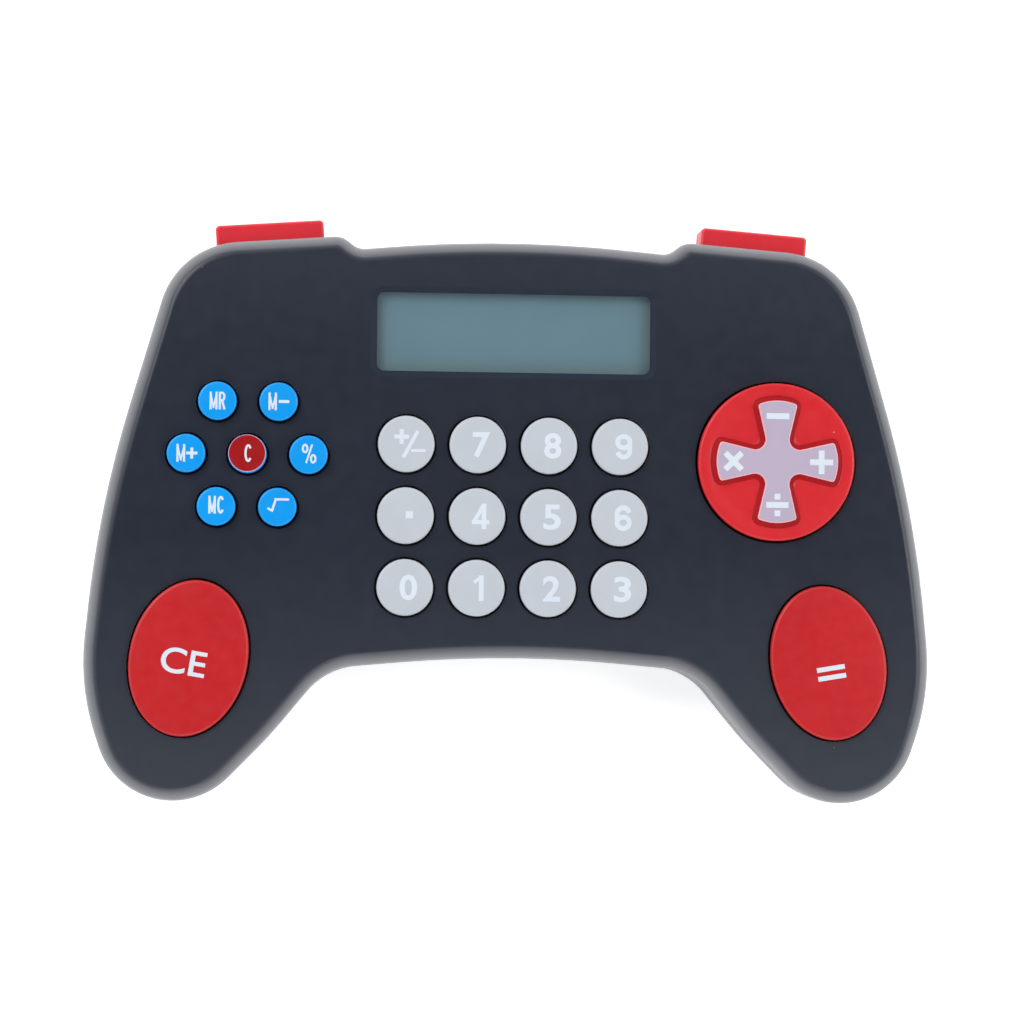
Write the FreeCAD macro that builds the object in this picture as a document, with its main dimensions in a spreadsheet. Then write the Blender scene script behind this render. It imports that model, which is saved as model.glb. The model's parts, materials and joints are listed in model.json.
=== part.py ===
import FreeCAD, Part
import math
import os
import Sketcher

# A pocket calculator shaped like a two-handed game controller. It lies on its back: +X to the right,
# +Y towards the display edge, +Z out of the key face. The origin is under the middle of its outline, on
# the plane of its rear face. Every length is in millimetres.

DOC = FreeCAD.newDocument("pocket_calculator")

SIZES = {
    # Case
    "case_thickness": 14.0,
    "parting_height": 7.0,
    "wall": 1.8,
    "face_bevel": 2.0,
    "face_round": 1.2,
    "back_round": 3.2,
    "seam_chamfer": 0.25,
    "cut_over": 1.0,
    "inner_corner": 0.3,
    "lip_height": 1.0,
    "lip_inset": 0.95,
    "lip_gap": 0.1,
    # Right half of the outline: the arcs that it is made of, clockwise from the top middle
    "arch_y": -172.6,
    "arch_radius": 217.8,
    "foot_x": 25.3,
    "foot_y": 47.0,
    "foot_radius": 3.2,
    "shoulder_x": 30.1,
    "shoulder_y": 42.6,
    "shoulder_radius": 3.2,
    "corner_x": 45.6,
    "corner_y": 30.5,
    "corner_radius": 14.1,
    "side_x": -115.0,
    "side_y": -34.8,
    "side_radius": 186.5,
    "flank_x": 31.9,
    "flank_y": -25.6,
    "flank_radius": 39.4,
    "tip_x": 56.3,
    "tip_y": -36.2,
    "tip_radius": 12.9,
    "palm_x": 91.9,
    "palm_y": 8.2,
    "palm_radius": 69.4,
    "crotch_x": 24.9,
    "crotch_y": -38.3,
    "crotch_radius": 11.9,
    "belly_y": -229.95,
    "belly_radius": 205.0,
    # Bosses and screws
    "corner_boss_x": 52.0,
    "corner_boss_y": 36.6,
    "side_boss_x": 63.5,
    "side_boss_y": -8.5,
    "lower_boss_x": 31.0,
    "lower_boss_y": -22.8,
    "front_boss_radius": 2.6,
    "rear_boss_radius": 3.1,
    "boss_gap": 0.2,
    "pilot_radius": 1.0,
    "pilot_roof": 0.2,
    "shank_clear_radius": 1.1,
    "head_bore_radius": 2.1,
    "head_bore_depth": 2.0,
    "case_screw_head_radius": 1.9,
    "case_screw_head_height": 1.2,
    "case_screw_sink": 0.7,
    "case_screw_radius": 0.95,
    "case_screw_length": 9.4,
    "slot_width": 0.45,
    "slot_reach": 1.3,
    "slot_share": 0.6,
    # Display
    "window_y": 29.75,
    "window_width": 46.1,
    "window_height": 13.2,
    "window_corner": 1.2,
    "window_bevel": 1.0,
    "window_bevel_depth": 0.8,
    "lens_width": 49.0,
    "lens_height": 16.4,
    "lens_corner": 1.5,
    "lens_thickness": 0.9,
    "lens_seat_depth": 0.6,
    "lens_gap": 0.15,
    "glass_y": 29.05,
    "glass_width": 50.0,
    "glass_height": 19.6,
    "glass_thickness": 0.7,
    "glass_ledge": 2.8,
    "glass_bottom": 10.2,
    "film_width": 48.0,
    "film_height": 15.6,
    "film_thickness": 0.2,
    "reflector_thickness": 0.15,
    "frame_width": 53.0,
    "frame_height": 22.4,
    "frame_top": 11.8,
    "frame_gap": 0.1,
    "zebra_width": 46.0,
    "zebra_depth": 2.0,
    # Circuit board
    "board_bottom": 8.2,
    "board_thickness": 1.0,
    "board_half_width": 57.5,
    "board_low": -19.4,
    "board_high": 27.5,
    "head_half_width": 49.0,
    "head_high": 39.6,
    "wing_inner": 45.0,
    "wing_outer": 64.0,
    "wing_low": -40.0,
    "wing_high": -18.0,
    "post_x": 27.4,
    "post_high_y": 14.0,
    "post_low_y": -15.0,
    "post_radius": 1.7,
    "post_pilot_radius": 0.8,
    "post_pilot_depth": 2.8,
    "board_screw_head_radius": 1.5,
    "board_screw_head_height": 0.8,
    "board_screw_radius": 0.75,
    "board_screw_length": 3.6,
    "board_hole_radius": 0.9,
    "blob_x": -22.0,
    "blob_y": 22.0,
    "blob_radius": 4.5,
    "blob_height": 1.2,
    "capacitor_radius": 2.0,
    "capacitor_height": 3.5,
    "capacitor_pitch": 5.5,
    "capacitor_offset": 9.0,
    "resistor_length": 2.0,
    "resistor_width": 1.25,
    "resistor_height": 0.6,
    "resistor_pitch": 3.0,
    "resistor_offset": 7.0,
    # Keys
    "key_pitch": 12.0,
    "key_row_y": 10.8,
    "key_radius": 4.8,
    "key_top": 14.9,
    "key_edge": 0.55,
    "key_crown": 0.15,
    "key_gap": 0.35,
    "key_flange": 0.8,
    "flange_bottom": 11.2,
    "flange_thickness": 0.9,
    "cluster_x": 44.45,
    "cluster_y": 8.75,
    "cluster_radius": 10.15,
    "memory_radius": 3.28,
    "memory_top": 15.3,
    "memory_flange": 0.7,
    "oval_x": 53.75,
    "oval_y": -25.3,
    "oval_half_width": 9.8,
    "oval_half_length": 13.1,
    "oval_tilt": 11.0,
    "oval_top": 15.0,
    "oval_edge": 0.7,
    "oval_gap": 0.35,
    "oval_flange": 0.8,
    # Silicone mats
    "mat_thickness": 0.5,
    "dome_top": 11.1,
    "digit_mat_width": 48.6,
    "digit_mat_low": -19.2,
    "digit_mat_high": 17.0,
    "digit_dome_radius": 4.2,
    "digit_dome_tip": 2.2,
    "memory_mat_radius": 13.2,
    "memory_dome_radius": 2.8,
    "memory_dome_tip": 1.6,
    "oval_mat_radius": 8.4,
    "oval_dome_radius": 5.0,
    "oval_dome_tip": 3.0,
    # Rocker
    "rocker_x": 44.6,
    "rocker_y": 8.6,
    "rocker_radius": 13.35,
    "rocker_gap": 0.4,
    "rocker_bottom": 10.4,
    "rocker_flange_radius": 14.2,
    "rocker_flange_thickness": 0.7,
    "rocker_top": 15.0,
    "rocker_edge": 0.6,
    "rocker_dish": 0.15,
    "rocker_recess_radius": 4.2,
    "rocker_recess_top": 11.5,
    "pivot_height": 11.8,
    "pivot_radius": 2.2,
    "pivot_gap": 0.05,
    "pivot_post_radius": 2.6,
    "pivot_post_top": 10.7,
    "pivot_peg_radius": 1.5,
    "pivot_peg_length": 1.4,
    "rocker_mat_radius": 11.2,
    "rocker_mat_hole": 3.2,
    "rocker_dome_reach": 8.4,
    "rocker_dome_radius": 2.6,
    "rocker_dome_tip": 1.6,
    "rocker_dome_top": 10.3,
    "cross_tip_y": 3.6,
    "cross_tip_radius": 6.6,
    "cross_corner_x": 2.75,
    "cross_corner_y": 9.05,
    "cross_corner_radius": 0.5,
    "cross_inner": 3.8,
    "cross_inner_radius": 1.75,
    "cross_skirt": 0.75,
    "plinth_height": 0.6,
    "plinth_root": 0.5,
    "cross_thickness": 0.35,
    # Shoulder buttons, in a frame turned with the top edge
    "button_x": 41.1,
    "button_y": 45.0,
    "button_tilt": 4.3,
    "button_width": 18.2,
    "button_reach": 3.1,
    "button_inside": 3.4,
    "button_height": 6.6,
    "button_corner": 0.7,
    "button_edge": 0.5,
    "button_gap": 0.25,
    "button_flange": 1.2,
    "button_flange_depth": 1.0,
    "slot_inside": 4.0,
    "switch_width": 6.0,
    "switch_depth": 4.0,
    "switch_height": 3.2,
    "switch_face": 5.5,
    "plunger_radius": 1.0,
    "plunger_gap": 0.1,
    "plunger_hole_depth": 2.4,
    "plunger_sunk": 0.9,
    "plunger_height": 6.5,
    # Battery bay
    "bay_y": 8.0,
    "bay_block_width": 37.0,
    "bay_block_depth": 20.0,
    "bay_block_top": 6.6,
    "bay_width": 14.5,
    "bay_top": 5.6,
    "door_width": 34.0,
    "door_depth": 17.0,
    "door_corner": 2.0,
    "door_gap": 0.2,
    "door_recess": 1.7,
    "door_sink": 0.1,
    "door_thickness": 1.5,
    "door_screw_x": 13.2,
    "door_pilot_radius": 0.85,
    "door_pilot_top": 5.5,
    "door_screw_radius": 0.78,
    "door_screw_length": 4.2,
    "door_screw_head_radius": 1.6,
    "door_screw_head_height": 0.8,
    "door_screw_sink": 0.2,
    "door_bore_radius": 1.8,
    "door_bore_depth": 0.95,
    "door_hole_radius": 0.95,
    "grip_rib_length": 8.0,
    "grip_rib_width": 0.6,
    "grip_rib_depth": 0.35,
    "grip_rib_pitch": 1.3,
    "grip_rib_corner": 0.29,
    "cell_radius": 5.8,
    "cell_height": 3.05,
    "cell_cap_radius": 4.7,
    "cell_cap_height": 0.35,
    "cell_bottom": 1.9,
    "contact_thickness": 0.25,
    "contact_width": 3.4,
    "contact_gap": 0.05,
    "contact_leaf": 2.0,
    "contact_slot": 1.0,
    "contact_slot_height": 3.0,
}

BOARD_TOP = "(sizes.board_bottom + sizes.board_thickness)"
CEILING = "(sizes.case_thickness - sizes.wall)"
CONTACT_REACH = "(sizes.cell_radius + sizes.contact_gap + sizes.contact_thickness / 2)"

# The arcs of the outline's right half, clockwise: +1 where it bulges out, -1 where it bends in.
OUTLINE = (
    ("foot", -1),
    ("shoulder", 1),
    ("corner", 1),
    ("side", 1),
    ("flank", 1),
    ("tip", 1),
    ("palm", 1),
    ("crotch", -1),
)

# Digit keys by column and row, from the top left.
DIGIT_KEYS = {
    "key_sign": (0, 0),
    "key_7": (1, 0),
    "key_8": (2, 0),
    "key_9": (3, 0),
    "key_point": (0, 1),
    "key_4": (1, 1),
    "key_5": (2, 1),
    "key_6": (3, 1),
    "key_0": (0, 2),
    "key_1": (1, 2),
    "key_2": (2, 2),
    "key_3": (3, 2),
}

# Memory keys by their angle round the middle key.
MEMORY_KEYS = {
    "key_percent": 0,
    "key_m_minus": 60,
    "key_mr": 120,
    "key_m_plus": 180,
    "key_mc": 240,
    "key_root": 300,
}

SIDES = {"left": -1, "right": 1}
BOSSES = ("corner_boss", "side_boss", "lower_boss")


def fill_sheet():
    sheet = DOC.addObject("Spreadsheet::Sheet", "sizes")
    for row, (alias, size) in enumerate(SIZES.items(), start=1):
        sheet.set(f"A{row}", alias)
        sheet.set(f"B{row}", str(size))
        sheet.setAlias(f"B{row}", alias)
    DOC.recompute()


# ---------------------------------------------------------------- sketches


def new_body(name, x="0", y="0", turn="0"):
    body = DOC.addObject("PartDesign::Body", name)
    body.setExpression("Placement.Base.x", x)
    body.setExpression("Placement.Base.y", y)
    body.setExpression("Placement.Rotation.Angle", turn)
    return body


def new_sketch(body, name, height="0", plane="XY_Plane"):
    sketch = body.newObject("Sketcher::SketchObject", name)
    support = next(f for f in body.Origin.OriginFeatures if f.Role == plane)
    sketch.AttachmentSupport = [(support, "")]
    sketch.MapMode = "FlatFace"
    sketch.setExpression("AttachmentOffset.Base.z", height)
    return sketch


def value(holder, expression):
    return float(holder.evalExpression(expression))


def dimension(sketch, expression, kind, *where):
    """Add a dimension to a sketch and bind it to the sheet."""
    rule = Sketcher.Constraint(kind, *where, value(sketch, expression))
    index = sketch.addConstraint(rule)
    sketch.setExpression(f"Constraints[{index}]", expression)


def place_centre(sketch, shape, x, y):
    dimension(sketch, x, "DistanceX", -1, 1, shape, 3)
    dimension(sketch, y, "DistanceY", -1, 1, shape, 3)


def add_circle(sketch, x, y, radius):
    centre = FreeCAD.Vector(value(sketch, x), value(sketch, y), 0)
    curve = Part.Circle(centre, FreeCAD.Vector(0, 0, 1), value(sketch, radius))
    circle = sketch.addGeometry(curve, False)
    place_centre(sketch, circle, x, y)
    dimension(sketch, radius, "Radius", circle)


def add_oval(sketch, grow="0"):
    """An oval key's ellipse round the sketch's origin, moved outwards by the growth all round."""
    half_width = f"sizes.oval_half_width + {grow}"
    half_length = f"sizes.oval_half_length + {grow}"
    long_end = FreeCAD.Vector(0, value(sketch, half_length), 0)
    short_end = FreeCAD.Vector(-value(sketch, half_width), 0, 0)
    curve = Part.Ellipse(long_end, short_end, FreeCAD.Vector(0, 0, 0))
    ellipse = sketch.addGeometry(curve, False)
    sketch.exposeInternalGeometry(ellipse)
    major, minor = ellipse + 1, ellipse + 2
    sketch.addConstraint(Sketcher.Constraint("Coincident", ellipse, 3, -1, 1))
    sketch.addConstraint(Sketcher.Constraint("Vertical", major))
    dimension(sketch, f"2 * ({half_length})", "Distance", major)
    dimension(sketch, f"2 * ({half_width})", "Distance", minor)


def add_tangent_ring(sketch, circles):
    """Close a loop of arcs, taken clockwise, with a line tangent to each pair of neighbours.

    A circle is (x, y, radius, side): three expressions, then +1 where the loop bulges out round it
    or -1 where the loop bends in round it.
    """
    known = [(value(sketch, x), value(sketch, y), side * value(sketch, r)) for x, y, r, side in circles]
    count = len(circles)
    headings = []
    for index, (x, y, bend) in enumerate(known):
        next_x, next_y, next_bend = known[(index + 1) % count]
        apart = math.hypot(next_x - x, next_y - y)
        towards = math.atan2(next_y - y, next_x - x)
        headings.append(towards - math.asin((bend - next_bend) / apart))

    arcs = []
    for index, (x, y, bend) in enumerate(known):
        quarter = math.copysign(math.pi / 2, bend)
        enters = headings[index - 1] + quarter
        leaves = headings[index] + quarter
        first, last = (leaves, enters) if bend > 0 else (enters, leaves)
        last = first + (last - first) % (2 * math.pi)
        circle = Part.Circle(FreeCAD.Vector(x, y, 0), FreeCAD.Vector(0, 0, 1), abs(bend))
        arcs.append(sketch.addGeometry(Part.ArcOfCircle(circle, first, last), False))

    def end_point(index, leaving):
        x, y, bend = known[index]
        heading = headings[index] if leaving else headings[index - 1]
        return FreeCAD.Vector(x - bend * math.sin(heading), y + bend * math.cos(heading), 0)

    for index in range(count):
        following = (index + 1) % count
        ends = Part.LineSegment(end_point(index, True), end_point(following, False))
        line = sketch.addGeometry(ends, False)
        leaving_end = 1 if known[index][2] > 0 else 2
        entering_end = 2 if known[following][2] > 0 else 1
        sketch.addConstraint(Sketcher.Constraint("Tangent", line, 1, arcs[index], leaving_end))
        sketch.addConstraint(Sketcher.Constraint("Tangent", line, 2, arcs[following], entering_end))

    for arc, (x, y, radius, side) in zip(arcs, circles):
        place_centre(sketch, arc, x, y)
        dimension(sketch, radius, "Radius", arc)


def add_rounded_rectangle(sketch, x, y, width, height, corner):
    reach_x = f"(({width}) / 2 - ({corner}))"
    reach_y = f"(({height}) / 2 - ({corner}))"
    turns = ((1, 1), (1, -1), (-1, -1), (-1, 1))
    add_tangent_ring(
        sketch,
        [(f"{x} + {i} * {reach_x}", f"{y} + {j} * {reach_y}", corner, 1) for i, j in turns],
    )


def add_outline(sketch, inset="0"):
    """The case's outline, moved inwards by the inset all round."""

    def arc(name, bend, mirror):
        x = f"{mirror} * sizes.{name}_x" if mirror else "0"
        sign = "-" if bend > 0 else "+"
        return (x, f"sizes.{name}_y", f"sizes.{name}_radius {sign} ({inset})", bend)

    right = [arc(name, bend, 1) for name, bend in OUTLINE]
    left = [arc(name, bend, -1) for name, bend in reversed(OUTLINE)]
    add_tangent_ring(sketch, [arc("arch", 1, 0)] + right + [arc("belly", -1, 0)] + left)


def add_cross(sketch, grow="0"):
    """A cross with four flared arms, moved outwards by the growth all round."""
    tip = ("0", "sizes.cross_tip_y", "sizes.cross_tip_radius", 1)
    corner_after = ("sizes.cross_corner_x", "sizes.cross_corner_y", "sizes.cross_corner_radius", 1)
    inner = ("sizes.cross_inner", "sizes.cross_inner", "sizes.cross_inner_radius", -1)
    corner_before = ("-sizes.cross_corner_x", "sizes.cross_corner_y", "sizes.cross_corner_radius", 1)
    ring = []
    for turn in range(4):
        for x, y, radius, side in (corner_before, tip, corner_after, inner):
            for _ in range(turn):
                x, y = y, f"-({x})"
            sign = "+" if side > 0 else "-"
            ring.append((x, y, f"{radius} {sign} ({grow})", side))
    add_tangent_ring(sketch, ring)


# ---------------------------------------------------------------- features


def pad(body, sketch, length, forwards=True):
    feature = body.newObject("PartDesign::Pad", f"{sketch.Name}_pad")
    feature.Profile = sketch
    feature.setExpression("Length", length)
    feature.Reversed = not forwards
    sketch.Visibility = False
    return feature


def pocket(body, sketch, length, forwards=False):
    """Cut a sketch's loops out of the body, forwards meaning along its normal; something must be cut."""
    DOC.recompute()
    before = body.Shape.Volume
    feature = body.newObject("PartDesign::Pocket", f"{sketch.Name}_pocket")
    feature.Profile = sketch
    feature.setExpression("Length", length)
    feature.Reversed = forwards
    DOC.recompute()
    if body.Shape.Volume > before - 1e-6:
        raise RuntimeError(f"{feature.Name} cuts nothing")
    return feature


def flat_edges(shape, height, inside=None):
    """Names of the edges that lie at a height, and within a box given as (x, y, half x, half y)."""
    names = []
    for index, edge in enumerate(shape.Edges, start=1):
        box = edge.BoundBox
        if abs(box.ZMin - height) > 1e-4 or abs(box.ZMax - height) > 1e-4:
            continue
        if inside:
            x, y, reach_x, reach_y = inside
            if abs(box.Center.x - x) > reach_x or abs(box.Center.y - y) > reach_y:
                continue
        names.append(f"Edge{index}")
    return names


def dress(body, kind, edges, **sizes):
    """Fillet or chamfer the named edges of the body's last feature."""
    DOC.recompute()
    base = body.Tip
    feature = body.newObject(f"PartDesign::{kind}", f"{base.Name}_{kind.lower()}")
    feature.Base = (base, edges)
    for name, expression in sizes.items():
        feature.setExpression(name, expression)
    DOC.recompute()
    return feature


def box(name, size, x, y, z):
    """A block of three sizes, centred on x and y, that stands on z."""
    block = DOC.addObject("Part::Box", name)
    for prop, expression in zip(("Length", "Width", "Height"), size):
        block.setExpression(prop, expression)
    block.setExpression("Placement.Base.x", f"{x} - ({size[0]}) / 2")
    block.setExpression("Placement.Base.y", f"{y} - ({size[1]}) / 2")
    block.setExpression("Placement.Base.z", z)
    return block


def cylinder(name, radius, height, x, y, z):
    """An upright cylinder that stands on z."""
    rod = DOC.addObject("Part::Cylinder", name)
    rod.setExpression("Radius", radius)
    rod.setExpression("Height", height)
    rod.setExpression("Placement.Base.x", x)
    rod.setExpression("Placement.Base.y", y)
    rod.setExpression("Placement.Base.z", z)
    return rod


def dome(name, foot_radius, tip_radius, top, x, y):
    """A silicone dome that stands on its mat's web."""
    cone = DOC.addObject("Part::Cone", name)
    web_top = f"({BOARD_TOP} + sizes.mat_thickness)"
    cone.setExpression("Radius1", foot_radius)
    cone.setExpression("Radius2", tip_radius)
    cone.setExpression("Height", f"{top} - {web_top}")
    cone.setExpression("Placement.Base.x", x)
    cone.setExpression("Placement.Base.y", y)
    cone.setExpression("Placement.Base.z", web_top)
    return cone


def fuse(name, pieces):
    joined = DOC.addObject("Part::MultiFuse", name)
    joined.Shapes = pieces
    return joined


def cut(name, base, tools):
    tool = tools[0] if len(tools) == 1 else fuse(f"{name}_tools", tools)
    result = DOC.addObject("Part::Cut", name)
    result.Base = base
    result.Tool = tool
    return result


def screw(name, head_radius, head_height, radius, length, x, y, z):
    """A screw whose head is at its lower end, with a cross recess in it."""
    depth = f"{head_height} * sizes.slot_share"
    arm = f"{head_radius} * sizes.slot_reach"
    head = cylinder(f"{name}_head", head_radius, head_height, x, y, z)
    shank = cylinder(f"{name}_shank", radius, f"{head_height} + {length}", x, y, z)
    solid = fuse(f"{name}_solid", [head, shank])
    along = box(f"{name}_slot_x", (arm, "sizes.slot_width", depth), x, y, z)
    across = box(f"{name}_slot_y", ("sizes.slot_width", arm, depth), x, y, z)
    return cut(name, solid, [along, across])


# ---------------------------------------------------------------- places


def boss_places():
    """The case screws' places, as pairs of expressions."""
    return [(f"{side} * sizes.{boss}_x", f"sizes.{boss}_y") for boss in BOSSES for side in (-1, 1)]


def post_places():
    """The board screws' places, as pairs of expressions."""
    heights = ("sizes.post_high_y", "sizes.post_low_y")
    return [(f"{side} * sizes.post_x", y) for y in heights for side in (-1, 1)]


def digit_place(column, row):
    return f"sizes.key_pitch * {column - 1.5}", f"sizes.key_row_y - sizes.key_pitch * {row}"


def memory_places():
    places = {"key_c": ("-sizes.cluster_x", "sizes.cluster_y")}
    for name, angle in MEMORY_KEYS.items():
        x = f"-sizes.cluster_x + sizes.cluster_radius * cos({angle} deg)"
        y = f"sizes.cluster_y + sizes.cluster_radius * sin({angle} deg)"
        places[name] = (x, y)
    return places


def oval_body(name, side):
    """A body in an oval key's own frame, with Y along the oval's longer axis."""
    return new_body(name, f"{side} * sizes.oval_x", "sizes.oval_y", f"{side} * sizes.oval_tilt")


def button_body(name, side):
    """A body in a shoulder button's own frame: X along the top edge, Y out of it."""
    return new_body(name, f"{side} * sizes.button_x", "sizes.button_y", f"{-side} * sizes.button_tilt")


# ---------------------------------------------------------------- case


def front_shell():
    body = new_body("front_shell_body")
    floor = "sizes.parting_height"
    height = "sizes.case_thickness - sizes.parting_height"
    top = SIZES["case_thickness"]

    outer = new_sketch(body, "front_outline", floor)
    add_outline(outer)
    pad(body, outer, height)
    DOC.recompute()
    dress(body, "Chamfer", flat_edges(body.Shape, top), Size="sizes.face_bevel")
    DOC.recompute()
    ridges = flat_edges(body.Shape, top) + flat_edges(body.Shape, top - SIZES["face_bevel"])
    dress(body, "Fillet", ridges, Radius="sizes.face_round")

    inner = new_sketch(body, "front_cavity", floor)
    add_outline(inner, "sizes.wall")
    pocket(body, inner, f"{height} - sizes.wall", forwards=True)
    groove = new_sketch(body, "front_lip_groove", floor)
    add_outline(groove, "sizes.lip_inset - sizes.lip_gap")
    pocket(body, groove, "sizes.lip_height + sizes.lip_gap", forwards=True)

    bosses = new_sketch(body, "front_bosses", f"{floor} + sizes.boss_gap")
    for x, y in boss_places():
        add_circle(bosses, x, y, "sizes.front_boss_radius")
    pad(body, bosses, f"{height} - sizes.wall - sizes.boss_gap")
    posts = new_sketch(body, "front_posts", BOARD_TOP)
    for x, y in post_places():
        add_circle(posts, x, y, "sizes.post_radius")
    pad(body, posts, f"{CEILING} - {BOARD_TOP}")

    pilots = new_sketch(body, "front_pilots", floor)
    for x, y in boss_places():
        add_circle(pilots, x, y, "sizes.pilot_radius")
    pocket(body, pilots, f"{height} - sizes.wall - sizes.pilot_roof", forwards=True)
    post_pilots = new_sketch(body, "front_post_pilots", BOARD_TOP)
    for x, y in post_places():
        add_circle(post_pilots, x, y, "sizes.post_pilot_radius")
    pocket(body, post_pilots, "sizes.post_pilot_depth", forwards=True)

    openings = new_sketch(body, "front_key_openings", "sizes.case_thickness")
    for column, row in DIGIT_KEYS.values():
        x, y = digit_place(column, row)
        add_circle(openings, x, y, "sizes.key_radius + sizes.key_gap")
    for x, y in memory_places().values():
        add_circle(openings, x, y, "sizes.memory_radius + sizes.key_gap")
    add_circle(openings, "sizes.rocker_x", "sizes.rocker_y", "sizes.rocker_radius + sizes.rocker_gap")
    pocket(body, openings, "sizes.wall + sizes.cut_over")

    window = new_sketch(body, "front_window", "sizes.case_thickness")
    add_rounded_rectangle(window, "0", "sizes.window_y", "sizes.window_width", "sizes.window_height",
                          "sizes.window_corner")
    pocket(body, window, "sizes.wall + sizes.cut_over")
    spare = SIZES["window_corner"]
    around = (0, SIZES["window_y"], SIZES["window_width"] / 2 + spare, SIZES["window_height"] / 2 + spare)
    bevel = dress(body, "Chamfer", flat_edges(body.Shape, top, around), Size="sizes.window_bevel",
                  Size2="sizes.window_bevel_depth")
    bevel.ChamferType = "Two distances"
    seat = new_sketch(body, "front_lens_seat", CEILING)
    add_rounded_rectangle(seat, "0", "sizes.window_y", "sizes.lens_width + 2 * sizes.lens_gap",
                          "sizes.lens_height + 2 * sizes.lens_gap", "sizes.lens_corner")
    pocket(body, seat, "sizes.lens_seat_depth", forwards=True)

    ovals = [oval_opening(name, side) for name, side in SIDES.items()]
    slots = [shoulder_slot(f"front_slot_{name}", side) for name, side in SIDES.items()]
    return cut("front_shell", body, ovals + slots)


def oval_opening(name, side):
    body = oval_body(f"oval_opening_{name}", side)
    sketch = new_sketch(body, f"oval_opening_{name}_sketch", "sizes.flange_bottom")
    add_oval(sketch, "sizes.oval_gap")
    pad(body, sketch, "sizes.oval_top - sizes.flange_bottom")
    return body


def shoulder_slot(name, side):
    """The opening in the top wall that a shoulder button slides through."""
    body = button_body(name, side)
    clear = "sizes.button_gap"
    low = f"sizes.parting_height - sizes.button_height / 2 - {clear}"
    sketch = new_sketch(body, f"{name}_sketch", low)
    add_rounded_rectangle(sketch, "0", "0", f"sizes.button_width + 2 * {clear}", "2 * sizes.slot_inside",
                          "sizes.button_corner")
    pad(body, sketch, f"sizes.button_height + 2 * {clear}")
    return body


def rear_shell():
    body = new_body("rear_shell_body")
    outer = new_sketch(body, "rear_outline")
    add_outline(outer)
    pad(body, outer, "sizes.parting_height")
    DOC.recompute()
    dress(body, "Fillet", flat_edges(body.Shape, 0), Radius="sizes.back_round")
    seam = flat_edges(body.Shape, SIZES["parting_height"])
    dress(body, "Chamfer", seam, Size="sizes.seam_chamfer")

    inner = new_sketch(body, "rear_cavity", "sizes.parting_height")
    add_outline(inner, "sizes.wall")
    pocket(body, inner, "sizes.parting_height - sizes.wall")
    lip = new_sketch(body, "rear_lip", "sizes.parting_height")
    add_outline(lip, "sizes.lip_inset")
    add_outline(lip, "sizes.wall")
    pad(body, lip, "sizes.lip_height")

    floor = "sizes.wall"
    bosses = new_sketch(body, "rear_bosses", floor)
    for x, y in boss_places():
        add_circle(bosses, x, y, "sizes.rear_boss_radius")
    pad(body, bosses, "sizes.parting_height - sizes.wall")
    block = new_sketch(body, "battery_block", floor)
    add_rounded_rectangle(block, "0", "sizes.bay_y", "sizes.bay_block_width", "sizes.bay_block_depth",
                          "sizes.door_corner")
    pad(body, block, "sizes.bay_block_top - sizes.wall")

    holes = new_sketch(body, "rear_screw_holes")
    heads = new_sketch(body, "rear_head_bores")
    for x, y in boss_places():
        add_circle(holes, x, y, "sizes.shank_clear_radius")
        add_circle(heads, x, y, "sizes.head_bore_radius")
    pocket(body, holes, "sizes.parting_height", forwards=True)
    pocket(body, heads, "sizes.head_bore_depth", forwards=True)

    recess = new_sketch(body, "door_recess")
    add_rounded_rectangle(recess, "0", "sizes.bay_y", "sizes.door_width + 2 * sizes.door_gap",
                          "sizes.door_depth + 2 * sizes.door_gap", "sizes.door_corner")
    pocket(body, recess, "sizes.door_recess", forwards=True)
    bay = new_sketch(body, "battery_bay")
    add_rounded_rectangle(bay, "0", "sizes.bay_y", "sizes.bay_width", "sizes.bay_width",
                          "sizes.door_corner")
    pocket(body, bay, "sizes.bay_top", forwards=True)
    pilots = new_sketch(body, "door_pilots")
    for side in SIDES.values():
        add_circle(pilots, f"{side} * sizes.door_screw_x", "sizes.bay_y", "sizes.door_pilot_radius")
    pocket(body, pilots, "sizes.door_pilot_top", forwards=True)

    tools = [shoulder_slot(f"rear_slot_{name}", side) for name, side in SIDES.items()]
    for name, side in SIDES.items():
        tools.append(box(f"contact_slot_{name}",
                         ("sizes.contact_slot", "sizes.contact_width + sizes.contact_slot",
                          "sizes.contact_slot_height"),
                         f"{side} * {CONTACT_REACH}", "sizes.bay_y", "sizes.bay_top - sizes.cut_over"))
    return cut("rear_shell", body, tools)


def case_screws():
    screws = []
    for index, (x, y) in enumerate(boss_places()):
        screws.append(screw(f"case_screw_{index}", "sizes.case_screw_head_radius",
                            "sizes.case_screw_head_height", "sizes.case_screw_radius",
                            "sizes.case_screw_length", x, y, "sizes.case_screw_sink"))
    return fuse("case_screws", screws)


# ---------------------------------------------------------------- display


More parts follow.
